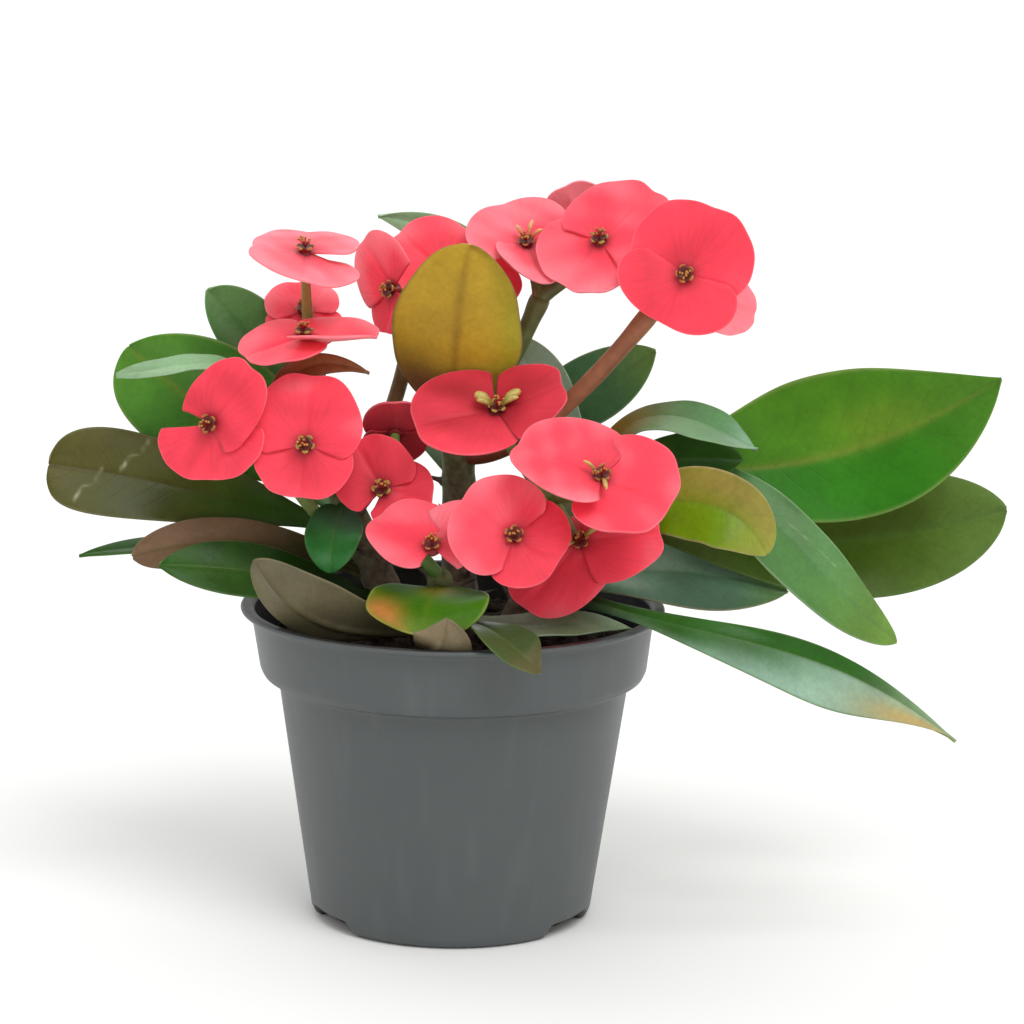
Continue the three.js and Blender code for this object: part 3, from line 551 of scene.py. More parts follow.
# %% Tables of blooms, stalks and leaves
# Centre and the azimuth and elevation that it faces; then for each of its two bracts: clock angle,
# length, width, rise, fold of its right and left wing, and half of the angle that it covers
BLOOMS = {
    "bloom_01": ((-42, -5, 188), (0, 74), (0, 16, 29, 2), (182, 15.5, 30, 0, 16, -12)),
    "bloom_02": ((-43, 15, 168.6), (0, 62), (-12, 15, 21, 6), (180, 15, 22, 0)),
    "bloom_03": ((-42, -13, 166), (0, 76), (-118, 19, 26, -6), (98, 22, 24, 8, 30, 12)),
    "bloom_04": ((-18, 8, 176.4), (-50, 10), (-45, 19, 21, 10, 6, 6, 85), (182, 13, 18, 10, 6, 6, 80)),
    "bloom_05": ((-4, 18, 180), (-5, 40), (-50, 19, 28, 10), (112, 24, 25, 4)),
    "bloom_06": ((19, 13, 188.6), (-10, 58), (-30, 19.5, 30, 8), (148, 18.5, 20, 4, 30, 4)),
    "bloom_07": ((39, 4, 191), (-10, 50), (38, 24, 31, 8), (214, 18, 31)),
    "bloom_08": ((34, -12, 107), (20, 20), (150, 12, 20, 4), (330, 10, 17, 4)),
    "bloom_09": ((62, -10, 184), (-5, 20), (204, 16, 35, 4), (20, 21.5, 34, 12)),
    "bloom_10": ((70.5, 13, 174.4), (30, 20), (115, 15, 18, 10), (295, 13, 16, 12)),
    "bloom_11": ((37, 32, 189.4), (180, 10), (26, 18, 22, -8, 6, 6, 80), (180, 16, 24, -4, 6, 6, 80)),
    "bloom_12": ((-67, -22, 143), (-20, 15), (38, 21.5, 22, 8, 6, 6, 102), (176, 16, 31, 2, 4, 4, 86)),
    "bloom_13": ((-41, -25, 138), (0, 25), (4, 21, 30, 6), (186, 15.5, 27, 2)),
    "bloom_14": ((-20, -18, 124.6), (-10, 30), (-35, 16, 23, 14), (95, 15, 20, 6)),
    "bloom_15": ((-17, -3, 138), (180, 40), (0, 13, 18, 6), (180, 13, 18, 6)),
    "bloom_16": ((-6, -37, 112.6), (-15, 52), (-60, 21, 24, 4, 6, 16), (45, 17, 22, 18, 6, 6, 85)),
    "bloom_17": ((16, -42, 117), (-5, 32), (-58, 19, 30, 6), (118, 15, 27, 4)),
    "bloom_18": ((39, -41, 133), (0, 48), (-66, 26, 32, 6, 4, 30), (116, 22, 34, 4, 10, 10)),
    "bloom_19": ((11, -12, 146), (0, 55), (-105, 25, 33, 2, 6, 6, 98), (78, 20, 26, 26, 6, 6, 80)),
    "bloom_20": ((34, -23, 112), (0, 24), (84, 24, 25, 6, 6, 6, 80), (218, 25.5, 26, 4, 6, 6, 82)),
}
# stem, place on it, bend, fork, radius at root and fork, its blooms, colours at root and blooms
STALKS = {
    "stalk_right_top": ("back", 0.8, (18, 2, 126), (54, 4, 172), 2.6, 2.5,
                        ("bloom_09", "bloom_10"), "874430", "a5704a"),
    "stalk_middle_top": ("back", 0.88, (11, 12, 144), (23, 12, 174), 2.1, 2.6,
                         ("bloom_06", "bloom_07", "bloom_11"), "6a8a44", "5a3c26"),
    "stalk_back": ("left", 0.84, (-18, 16, 132), (-13, 13, 164), 2.2, 2.2,
                   ("bloom_04", "bloom_05"), "5f4a34", "7c6a3a"),
    "stalk_left_top": ("left", 0.99, (-35, 1, 142), (-39, 2, 153), 2.2, 2.0,
                       ("bloom_01", "bloom_02", "bloom_03"), "5c7440", "8c7234"),
    "stalk_left": ("left", 0.6, (-38, -8, 112), (-47, -10, 128), 2.0, 1.8,
                   ("bloom_12", "bloom_13"), "587a3c", "9aa05c"),
    "stalk_front": ("front", 0.94, (-8, -26, 106), (-14, -20, 114), 2.0, 1.8,
                    ("bloom_14", "bloom_15", "bloom_16"), "55803c", "84a552"),
    "stalk_right": ("right", 0.7, (24, -4, 114), (25, -9, 121), 2.3, 2.0,
                    ("bloom_17", "bloom_18", "bloom_19", "bloom_20"), "5a7a3a", "8a8c4c"),
    "stalk_right_low": ("right", 0.52, (28, -1, 99), (31, -6, 100), 1.8, 1.6,
                        ("bloom_08",), "5a7a3a", "7a6a3a"),
}
# Stem, place on it, tip, bow of the midrib (or one near the root and one near the tip), facing,
# width, widest place, bluntness, fold, twist, wave and tint; a pair is for two unequal halves
LEAVES = {
    "leaf_right_upper": ("right", 1.0, (152, 5, 154), (0, 6, -15), (5, 25), (41, 46), (0.62, 0.54),
        (0.85, 1), 6, 0, 0.8, "fresh"),
    "leaf_right_lower": ("right", 0.76, (157, 20, 114), (0, 10, -12), (5, 35), 38, 0.68, 0.6, 4, 0, 0.8,
        "dark"),
    "leaf_right_long": ("right", 0.78, (123, -15, 83), ((10.5, 1.5, 30), (-1.5, -8, 8.5)), (15, 40),
        (26, 17), 0.6, 0.6, 6, 0, 0.5, "blue"),
    "leaf_right_short": ("right", 0.66, (85, -28, 110), ((1, -6.5, 11), (6.5, -9, 16)), (10, 20),
        (23, 21), 0.62, 0.6, 4, 0, 0.5, "olive"),
    "leaf_right_arched": ("right", 0.9, (83, -6, 135), ((-1, 0.5, 18), (2.5, -4.5, 7)), (20, 60),
        (24, 16), 0.65, 0.5, 10, -50, 0.8, "blue"),
    "leaf_right_under": ("right", 0.88, (80, 0, 131), (0, -1, 2), (10, 45), 18, 0.6, 0.8, 6, 0, 0.4,
        "dark"),
    "leaf_right_drooping": ("right", 0.46, (137, -40, 61), ((4, -57, 10.5), (0, 0, 12.5)), (0, 30),
        (24, 9), (0.58, 0.5), (1.5, 1.2), 8, 10, 1, "dark"),
    "leaf_right_inner": ("right", 0.46, (95, 16, 90), (0, 2, 4), (10, 55), 29, 0.55, 0.7, 6, 0, 1,
        "blue"),
    "leaf_top": ("back", 0.97, (-23, 32, 194), ((22, 27.5, -1.5), (20, 0, 11.5)), (10, 10), (12, 17),
        0.55, 0.9, 6, 0, 0.6, "pale"),
    "leaf_back_right": ("back", 0.8, (56, 22, 158), (0, 6, -3), (10, 30), 20, 0.6, 0.7, 6, 0, 0.8,
        "blue"),
    "leaf_back_tip": ("right", 0.97, (15, 20, 162), ((-1, 3.5, -4.5), (0, 0, -1)), (0, 10), (16, 12), 0.6,
        0.7, 6, 0, 0.4, "pale"),
    "leaf_bronze": ("back", 0.9, (3, -6, 191), (-2, -7, 0), (180, 10), 36, 0.48, 0.5, 6, 0, 1.4,
        "bronze"),
    "leaf_left_top": ("left", 0.91, (-70, 14, 175), (0, 10, 2), (-20, 30), (21, 17), 0.6, 0.6, 6, 0, 0.5,
        "blue"),
    "leaf_left_round": ("left", 0.8, (-92, 12, 159), (0, 3, -4), (-15, 15), (41, 33), (0.55, 0.74),
        (0.6, 0.45), 6, 0, 0.5, "fresh"),
    "leaf_left_edge": ("left", 0.78, (-94, -6, 154), ((-8, -3, 29), (6.5, 0, 11.5)), (0, 84), 13, 0.64,
        0.8, 6, -30, 0.5, "pale"),
    "leaf_left_brown": ("left", 0.8, (-24, -11, 156), ((-22.5, -11, 7), (-18.5, -9, 18.5)), (0, 35), 8,
        0.6, 0.9, 6, 0, 0.3, "umber"),
    "leaf_left_long": ("left", 0.66, (-113, -3, 128), (0, 0, 2), (-10, 30), 27, (0.74, 0.8), (0.42, 0.3),
        5, 0, 0.8, "umber"),
    "leaf_left_narrow": ("left", 0.54, (-106, 8, 100), (0, 2, 4), (0, 75), 14, 0.5, 1, 8, 0, 0.5, "dark"),
    "leaf_left_curled": ("left", 0.48, (-89, -13, 104), (0, -2, 8), (180, -20), 14, 0.65, 0.5, 6, 0, 0.5,
        "umber"),
    "leaf_left_low": ("left", 0.4, (-81, -23, 104), (0, -3, 3), (-10, 35), (17, 17), 0.6, 0.8, 6, 0, 0.3,
        "dark"),
    "leaf_rim_left": ("front", 0.52, (-54, -33, 108), ((2.5, -6, -0.5), (-1.5, -4.5, -14.5)), (150, 20),
        (17, 28), (0.78, 0.68), 0.5, 6, 0, 0.8, "umber"),
    "leaf_centre_hanging": ("left", 0.8, (-34, -26, 103), ((-1.5, -5.5, 1), (-1, -7, 1.5)), (0, 15), 15.5,
        0.4, 0.6, 6, 0, 0.3, "dark"),
    "leaf_centre": ("front", 0.86, (-9, -52, 91.5), (0, -2, 4), (-10, 50), 34, 0.6, 0.45, 8, 0, 0.8,
        "olive"),
    "leaf_rim_front": ("front", 0.58, (23, -68, 86), ((2, -8.5, 9), (-1, -15.5, 7)), (10, 60), (12, 15),
        0.66, 0.6, 8, 0, 0.6, "dark"),
    "leaf_rim_folded": ("front", 0.48, (-2, -58, 98), ((-6, -23, 3), (0.5, -9, -6.5)), (180, 15), 17,
        0.66, 0.9, 6, 0, 0.4, "umber"),
    "leaf_rim_right": ("front", 0.78, (49, -20, 87), ((-4, -4, -7), (-1, -4.5, 2.5)), (0, 75), 15, 0.55,
        0.9, 6, 0, 0.3, "pale"),
    "leaf_back_left": ("left", 0.6, (-74, 62, 122), (0, 2, 10), (-150, 55), 30, 0.62, 0.6, 6, 0, 0.8,
        "fresh"),
    "leaf_back_middle": ("back", 0.6, (-6, 100, 118), (0, 0, 14), (180, 55), 32, 0.62, 0.6, 6, 0, 0.8,
        "dark"),
    "leaf_back_low": ("right", 0.5, (78, 66, 108), (0, 2, 10), (140, 55), 30, 0.62, 0.6, 6, 0, 0.8,
        "fresh"),
}


PULL = 4 / 3  # how far a midrib's two inner points move for a bow of 1
HIGHEST_ROOT = 0.97  # leaves of a stem's tip start just under its rounded end


def midrib_of(row):
    """The four points of a leaf's midrib: a cubic curve whose inner points stand on the straight
    line from root to tip, moved by 4/3 of the bow beside them."""
    stem, share, tip, bow = row[:4]
    root = stem_point(stem, min(share, HIGHEST_ROOT))[0][0]
    first, second = bow if isinstance(bow[0], tuple) else (bow, bow)
    step = (np.array(tip) - root) / 3
    inner = [root + step + PULL * np.array(first), tip - step + PULL * np.array(second)]
    return np.array([root, *inner, tip])


def stalk_limb(row):
    """Root, bend and fork of a flower stalk's limb."""
    return np.array([stem_point(row[0], row[1])[0][0], row[2], row[3]])


print(len(BLOOMS), "blooms on", len(STALKS), "stalks, and", len(LEAVES), "leaves")

# %% Thorns where no leaf or stalk starts
growth = [midrib_of(row) for row in LEAVES.values()] + [stalk_limb(row) for row in STALKS.values()]
starts = np.concatenate([bezier(curve, np.arange(0, 0.41, 0.05))[0] for curve in growth])


def thorn_paths(stem):
    """Root and direction of each thorn: a spiral of 137.5 degrees, left out near other growth."""
    k = np.arange(THORNS_A_STEM)
    jitter = THORN_JITTER * lcg(THORN_SEED + len(stem), THORNS_A_STEM)
    share = THORN_FIRST + THORN_STRETCH * (k + jitter) / THORNS_A_STEM
    root, along = stem_point(stem, share)
    level = square_to(np.array([1, 0.3, 0.0]) + 0 * along, along)
    out = turned(level, along, np.radians(THORN_TURN) * k)
    out = unit(out + THORN_SWEEP * along)
    reach = stem_radius(stem, share)
    tip = root + out * (reach + THORN_LENGTH)[:, None]
    near = root + 0.7 * (tip - root)
    gap = [np.linalg.norm(starts[None] - p[:, None], axis=2).min(axis=1) for p in (tip, near)]
    keep = (tip[:, 2] > THORN_LOWEST) & (np.minimum(*gap) >= THORN_CLEAR)
    return root[keep], out[keep], along[keep], reach[keep]


def thorn_rings(stem):
    """A thorn's radius falls as (1-t)^0.8 to a point, over a swollen foot, and it leans upwards."""
    root, out, along, reach = thorn_paths(stem)
    t = np.linspace(0, 1, 12)
    foot = (reach - THORN_SUNK)[:, None] + t * (THORN_LENGTH + THORN_SUNK)
    path = root[:, None] + out[:, None] * foot[..., None] + along[:, None] * (0.5 * t ** 2)[None, :, None]
    radius = 1.05 * (1 - t) ** 0.8 + 0.9 * np.exp(-((t - 0.22) / 0.1) ** 2) + 0.04
    return tubes(path, np.repeat(radius[None], len(path), axis=0), 10), t


parts, colours = [], []
for stem in STEMS:
    rings, share = stem_rings(stem)
    parts.append(skin(rings))
    old, young = linear("6d6353"), linear("6f7a4a")
    tint = old + (young - old) * smooth(0.45, 1.0, share)[:, None]
    colours.append(np.repeat(tint, 28, axis=0))
    rings, t = thorn_rings(stem)
    parts.append(skin(rings))
    foot, tip = linear("75695a"), linear("2f2620")
    tint = foot + (tip - foot) * smooth(0.2, 0.9, t)[:, None]
    colours.append(np.tile(np.repeat(tint, 10, axis=0), (len(rings), 1)))


def gathered(parts):
    """Several skins as one: their points in a row, and their faces with shifted numbers."""
    starts = np.cumsum([0] + [len(p) for p, _ in parts[:-1]])
    faces = [f + s for (_, group), s in zip(parts, starts) for f in group]
    return np.concatenate([p for p, _ in parts]), faces


points, faces = gathered(parts)
make_piece("thorny_stems", points, faces, bark_finish, "stem_bark", "stems",
           paint=coloured(np.concatenate(colours)))
print("stems:", made[-1])

# %% [markdown]
# ## Flower stalks and cups
#
# Each stalk forks under its blooms. The skin is smooth and fleshy, green in the shade and
# red-brown in the sun. In the middle of each bloom stands a cup: a small green or dark red bowl
# with five glands on its rim and a tuft of stamens. They are bars and beads along short paths.

# %% Stalk skin and the cup's wax
stalk_finish, tree, shader = finish_of("fleshy_stalk_skin", Roughness=0.45, IOR=1.42,
                                       Subsurface_Weight=0.12, Subsurface_Radius=(0.8, 0.5, 0.25),
                                       Subsurface_Scale=0.001)
place, _ = mottle_paint(tree, shader, {"Scale": 260.0, "Detail": 4.0}, (0.3, 0.7, 0.78, 1.2))
fine = add(tree, "TexNoise", {"Vector": place, "Scale": 1500.0, "Detail": 3.0})
grain = add(tree, "Bump", {"Height": fine, "Strength": 0.15, "Distance": 0.0003})
tree.links.new(grain.outputs[0], shader.inputs["Normal"])

cup_finish, tree, shader = finish_of("waxy_glands", Roughness=0.35, IOR=1.45,
                                     Subsurface_Weight=0.15, Subsurface_Radius=(0.8, 0.4, 0.2),
                                     Subsurface_Scale=0.001)
mottle_paint(tree, shader, {"Scale": 1400.0, "Detail": 2.0}, (0.3, 0.7, 0.75, 1.2))


# %% Stalks, forks and branches
def bloom_axes(row):
    """Right and up in a bloom's plane, and the way it faces."""
    azimuth, elevation = row[1]
    out = facing(azimuth, elevation)
    right = np.array([math.cos(math.radians(azimuth)), math.sin(math.radians(azimuth)), 0])
    return right, np.cross(out, right), out


def branch_path(row, bloom):
    """A cubic curve from the fork that meets a bloom square from behind."""
    fork, centre = np.array(row[3], float), np.array(bloom[0], float)
    start = bezier(stalk_limb(row), [1.0])[1][0]
    reach = 0.4 * np.linalg.norm(centre - fork)
    behind = centre - bloom_axes(bloom)[2] * reach
    aim = unit(unit(behind - fork) + start)
    return [fork - 0.8 * start, fork + aim * reach * 0.7, behind, centre]


def painted(t, first, last, count):
    """A colour for each point of rings: from the first to the last along t."""
    tint = linear(first) + (linear(last) - linear(first)) * np.asarray(t)[:, None]
    return np.repeat(tint, count, axis=0)


def bead(path, radius, sides=8):
    """A plump bead along a short path: radius times a half circle's height."""
    t = np.linspace(0, 1, path.shape[1])
    share = np.sqrt(np.maximum(0.02, 1 - (2 * t - 1) ** 2))
    return tubes(path, np.asarray(radius)[..., None] * share[None], sides)


SIDES = 16
for name, row in STALKS.items():
    limb = stalk_limb(row)
    t = np.linspace(0, 1, 40)
    path = bezier(limb, t)[0]
    knot = 0.15 * np.exp(-((t - 0.97) / 0.05) ** 2) * row[5]
    parts = [skin(tubes(path[None], (row[4] + (row[5] - row[4]) * t + knot)[None], SIDES))]
    colours = [painted(0.7 * t, row[7], row[8], SIDES)]
    for bloom in row[6]:
        path = bezier(branch_path(row, BLOOMS[bloom]), t)[0]
        width = row[4] + (1.3 - row[4]) * smooth(0, 0.85, t)
        parts.append(skin(tubes(path[None], width[None], SIDES)))
        colours.append(painted(0.6 + 0.4 * t, row[7], row[8], SIDES))
    # two dry scales sit at the fork, where the branches part
    fork, start = np.array(row[3], float), bezier(limb, [1.0])[1][0]
    spin = np.array([0.3, 3.5])
    level = square_to(np.array([1.0, 0.2, 0.1]), start)
    away = turned(np.stack([level, level]), start, spin)
    s = np.linspace(0, 1, 8)[None, :, None]
    scale_path = fork - 1.2 * start + away[:, None] * (1.2 + 1.8 * s) + start * 3.4 * s ** 1.4
    parts.append(skin(bead(scale_path, np.array([0.9, 0.9]))))
    colours.append(np.tile(painted(np.linspace(0, 1, 8), "4a3020", "7a5a34", 8), (2, 1)))
    points, faces = gathered(parts)
    slot = "stalk_brown" if name in ("stalk_right_top", "stalk_back") else "stalk_green"
    make_piece(name + "_skin", points, faces, stalk_finish, slot, name,
               paint=coloured(np.concatenate(colours)))
print("stalks:", made[-len(STALKS):])


# %% Cups with glands and stamens
def in_bloom(bloom, radius, angle, height):
    """A place by its radius and angle in a bloom's plane and its height the way that it faces."""
    right, up, out = bloom_axes(bloom)
    flat = right * (radius * np.cos(angle))[..., None] + up * (radius * np.sin(angle))[..., None]
    return np.array(bloom[0], float) + flat + out * np.asarray(height)[..., None]


def cup_parts(bloom, seed):
    """Skins and colours of one cup in its bloom's axes: bowl, five glands, and stamens with their
    anthers.
    """
    rng = np.random.default_rng(seed)
    out = bloom_axes(bloom)[2]
    turn = np.arange(30) * 2 * math.pi / 30
    height = np.array([-1.2, -0.9, -0.4, 0.2, 0.9, 1.5, 2.0, 2.3, 2.1, 1.7])[:, None]
    radius = np.array([1.2, 2.2, 2.2, 1.3, 1.4, 1.7, 2.0, 1.9, 1.4, 0.4])[:, None]
    lobes = 1 + 0.1 * np.cos(5 * turn)[None] * smooth(0.9, 2.1, height)
    bowl = in_bloom(bloom, radius * lobes, turn[None] + 0 * height, height + 0 * turn[None])
    parts, colours = [skin(bowl[None])], [painted(smooth(2, 8, np.arange(10.0)), "8a1a1c", "5c1a12", 30)]
    five = np.arange(5) * 2 * math.pi / 5 + rng.uniform(0, 1)
    bow = np.linspace(-0.42, 0.42, 9)
    arc = five[:, None] + bow[None]
    ring = 2.05 + 0.3 * np.cos(bow / 0.42 * 1.2)[None] + 0 * arc
    path = in_bloom(bloom, ring, arc, 2.2 + 0 * arc)
    parts.append(skin(bead(path, rng.uniform(0.28, 0.5, 5))))
    hues = [("a05a2c", "c08040"), ("8a4a24", "b87038"), ("8f7a34", "b09040")][seed % 3]
    colours.append(np.tile(painted(np.linspace(0, 1, 9), *hues, 8), (5, 1)))
    count = 9
    angle, far = rng.uniform(0, 2 * math.pi, count), rng.uniform(0.5, 2.0, count)
    s = np.linspace(0, 1, 7)[None]
    rise = 1.8 + rng.uniform(1.9, 2.9, count)[:, None] * s
    path = in_bloom(bloom, far[:, None] * s ** 1.3, angle[:, None] + 0 * s, rise)
    parts.append(skin(tubes(path, 0.16 + 0 * path[..., 0], 6)))
    colours.append(np.tile(painted(np.linspace(0, 1, 7), "8a1420", "b02a2a", 6), (count, 1)))
    tips = path[:, -1:] + out * np.linspace(-0.35, 0.35, 6)[None, :, None]
    parts.append(skin(bead(tips, rng.uniform(0.3, 0.42, count), 7)))
    colours.append(np.tile(painted(np.linspace(0, 1, 6), "7a3a1a", "c08a3c", 7), (count, 1)))
    return parts, colours


LONG_GLANDS = {  # clock angle, length, width of the large curled glands of an open cup
    "bloom_19": [(-68, 5.5, 3.0), (-88, 4.5, 1.6), (58, 6.5, 2.8), (75, 5.0, 1.6)],
    "bloom_06": [(10, 5.5, 1.3), (-40, 4.0, 1.2), (60, 4.0, 1.2)],
    "bloom_20": [(-115, 5.5, 1.5), (55, 6.0, 1.6)],
    "bloom_18": [(170, 5.5, 1.4), (-60, 4.5, 1.1)],
}


def gland_parts(bloom, rows, hues):
    """Curled glands: an arc that rises from the cup and bends over, thickest at its end."""
    centre = np.array(bloom[0], float)
    right, up, out = bloom_axes(bloom)
    s = np.linspace(0, 1, 14)
    parts, colours = [], []
    for clock, length, width in rows:
        a = math.radians(90 - clock)
        away = right * math.cos(a) + up * math.sin(a)
        path = (centre + away[None] * (1.2 + length * s ** 1.1)[:, None]
                + out[None] * (1.4 + 2.6 * np.sin(1.9 * s))[:, None])
        share = (0.3 + 0.7 * smooth(0, 0.6, s)) * np.sqrt(1 - 0.98 * s ** 5)
        parts.append(skin(tubes(path[None], (width / 2 * share)[None], 12)))
        colours.append(painted(s, *hues, 12))
    return parts, colours


for seed, (name, row) in enumerate(STALKS.items()):
    parts, colours = [], []
    for k, bloom in enumerate(row[6]):
        more = cup_parts(BLOOMS[bloom], 10 * seed + k)
        parts += more[0]
        colours += more[1]
        if bloom in LONG_GLANDS:
            hues = ("c0603a", "e8b880") if bloom == "bloom_06" else ("8a7a30", "cdb868")
            more = gland_parts(BLOOMS[bloom], LONG_GLANDS[bloom], hues)
            parts += more[0]
            colours += more[1]
    points, faces = gathered(parts)
    make_piece(name.replace("stalk", "cups"), points, faces, cup_finish, "stalk_brown",
               paint=coloured(np.concatenate(colours)))
print("cups:", made[-len(STALKS):])

# %% [markdown]
# ## Blooms
#
# What looks like a flower is two kidney-shaped bracts, coral red and about as thick as a petal of
# wax. Each is a fan of rays about the bloom's centre: the rim's distance falls off to the sides
# and has a shallow notch. A crease runs along the middle with painted shade in it, fine veins
# spread from the centre, the rim is a hair paler, and the ground by the cup is deep red. Painted
# shade makes a bract deep red where it lies in shade, and a painted highlight makes it pale pink
# where light falls on it.

# %% Bract skin, waxy and slightly translucent
bract_finish, tree, shader = finish_of("waxy_bract_skin", Roughness=0.48, IOR=1.4,
                                       Sheen_Weight=0.1, Sheen_Roughness=0.4, Specular_IOR_Level=0.3,
                                       Subsurface_Weight=0.28, Subsurface_Radius=(1.0, 0.35, 0.3),
                                       Subsurface_Scale=0.0012)
place = add(tree, "TexCoord").outputs["Object"]
tint = add(tree, "Attribute", attribute_name="paint").outputs["Color"]
fan = add(tree, "Attribute", attribute_name="spread").outputs["Vector"]
rays = add(tree, "Mapping", {"Vector": fan, "Scale": (2.2, 17.0, 1.0)})
veins = add(tree, "TexNoise", {"Vector": rays, "Scale": 1.0, "Detail": 4.0, "Roughness": 0.6})
fine = add(tree, "MapRange", {0: veins, 1: 0.3, 2: 0.7, 3: 0.93, 4: 1.06})
cloud = add(tree, "TexNoise", {"Vector": place, "Scale": 130.0, "Detail": 3.0})
broad = add(tree, "MapRange", {0: cloud, 1: 0.3, 2: 0.7, 3: 0.93, 4: 1.06})
depth = add(tree, "Math", {0: fine, 1: broad}, operation="MULTIPLY")
petal = add(tree, "VectorMath", {0: tint, "Scale": depth}, operation="SCALE")
tree.links.new(petal.outputs[0], shader.inputs["Base Color"])
velvet = add(tree, "TexNoise", {"Vector": place, "Scale": 1500.0, "Detail": 2.0})
relief = add(tree, "Math", {0: veins, 1: velvet}, operation="ADD")
bump = add(tree, "Bump", {"Height": relief, "Strength": 0.16, "Distance": 0.0004})
tree.links.new(bump.outputs[0], shader.inputs["Normal"])

# %% The bracts' surface
BRACT_ROWS, BRACT_COLS, BRACT_THICK = 26, 61, 0.62
BRACT_HUB = 1.2  # radius of the open middle, inside the cup's foot
BRACT_NARROWING, BRACT_BODY, BRACT_BREADTH = 0.8, 0.25, 1.626  # of the rim's formula
BRACT_NOTCH, BRACT_NOTCH_ANGLE = 0.07, 16  # depth and half angle of the notch in the rim
BRACT_DROOP, BRACT_LAYER = 1.2, 1.2  # fall of the rim, and how much lower the second bract lies
SINK_FROM, SINK_OVER = 1.8, 4  # radius at which the second bract starts to sink, and the distance
BRACT_USUAL = (0, 6, 6, 106)  # rise, folds and half angle where a row gives none
# coral; the deep red of painted shade on shaded bracts and in the crease; the pale pink of the rim and of
# painted highlights; the underside
CORAL, SHADE_RED, RIM_AND_GLARE_PINK, BACK = "fb4559", "96101c", "ff9ea8", "f27e88"
# Painted shade and painted highlight on each bract near the cup and at the rim, and what its right and
# left
# wing add if anything: 0 is coral, 1 deep red painted where it lies in shade, -1 pale pink painted where
# light falls
SHADE_AND_GLARE = {
    "bloom_01": ((-0.2, -0.55), (-0.1, -0.6)),
    "bloom_02": ((0.0, -0.3), (0.1, -0.1)),
    "bloom_03": ((0.2, -0.1), (0.1, -0.35)),
    "bloom_04": ((0.1, -0.45, 0, -0.2), (0.3, 0.0)),
    "bloom_05": ((0.2, -0.3), (0.35, 0.1)),
    "bloom_06": ((0.0, -0.5), (-0.2, -0.5)),
    "bloom_07": ((0.15, -0.2), (0.1, -0.35)),
    "bloom_08": ((1.2, 1.0), (1.2, 1.0)),
    "bloom_09": ((0.35, 0.1), (0.45, -0.05)),
    "bloom_10": ((-0.4, -0.7), (-0.4, -0.6)),
    "bloom_11": ((-0.7, -0.8), (-0.7, -0.8)),
    "bloom_12": ((0.4, 0.1), (0.3, 0.0)),
    "bloom_13": ((0.3, 0.0), (0.35, 0.15)),
    "bloom_14": ((0.7, 0.4), (0.5, 0.2)),
    "bloom_15": ((0.8, 0.7), (0.8, 0.7)),
    "bloom_16": ((0.1, -0.25), (-0.1, -0.4)),
    "bloom_17": ((0.2, -0.3), (0.15, 0.15)),
    "bloom_18": ((0.25, -0.2, 0, -0.3), (0.2, -0.05)),
    "bloom_19": ((0.9, 0.6, 0.3, -0.9), (1.0, 0.6)),
    "bloom_20": ((0.4, 0.0), (0.35, -0.05, 0.3, -0.1)),
}


def shaded_and_lit(painted_shading):
    """Coral mixed towards deep red as painted shade where the value is above 0, and towards pale pink as
    painted highlight where below.
    """
    deep = np.clip(painted_shading, 0, 1.2)[..., None] * 0.8
    pale = np.clip(-painted_shading, 0, 1)[..., None]
    return linear(CORAL) * (1 - deep - pale) + linear(SHADE_RED) * deep + linear(RIM_AND_GLARE_PINK) * pale


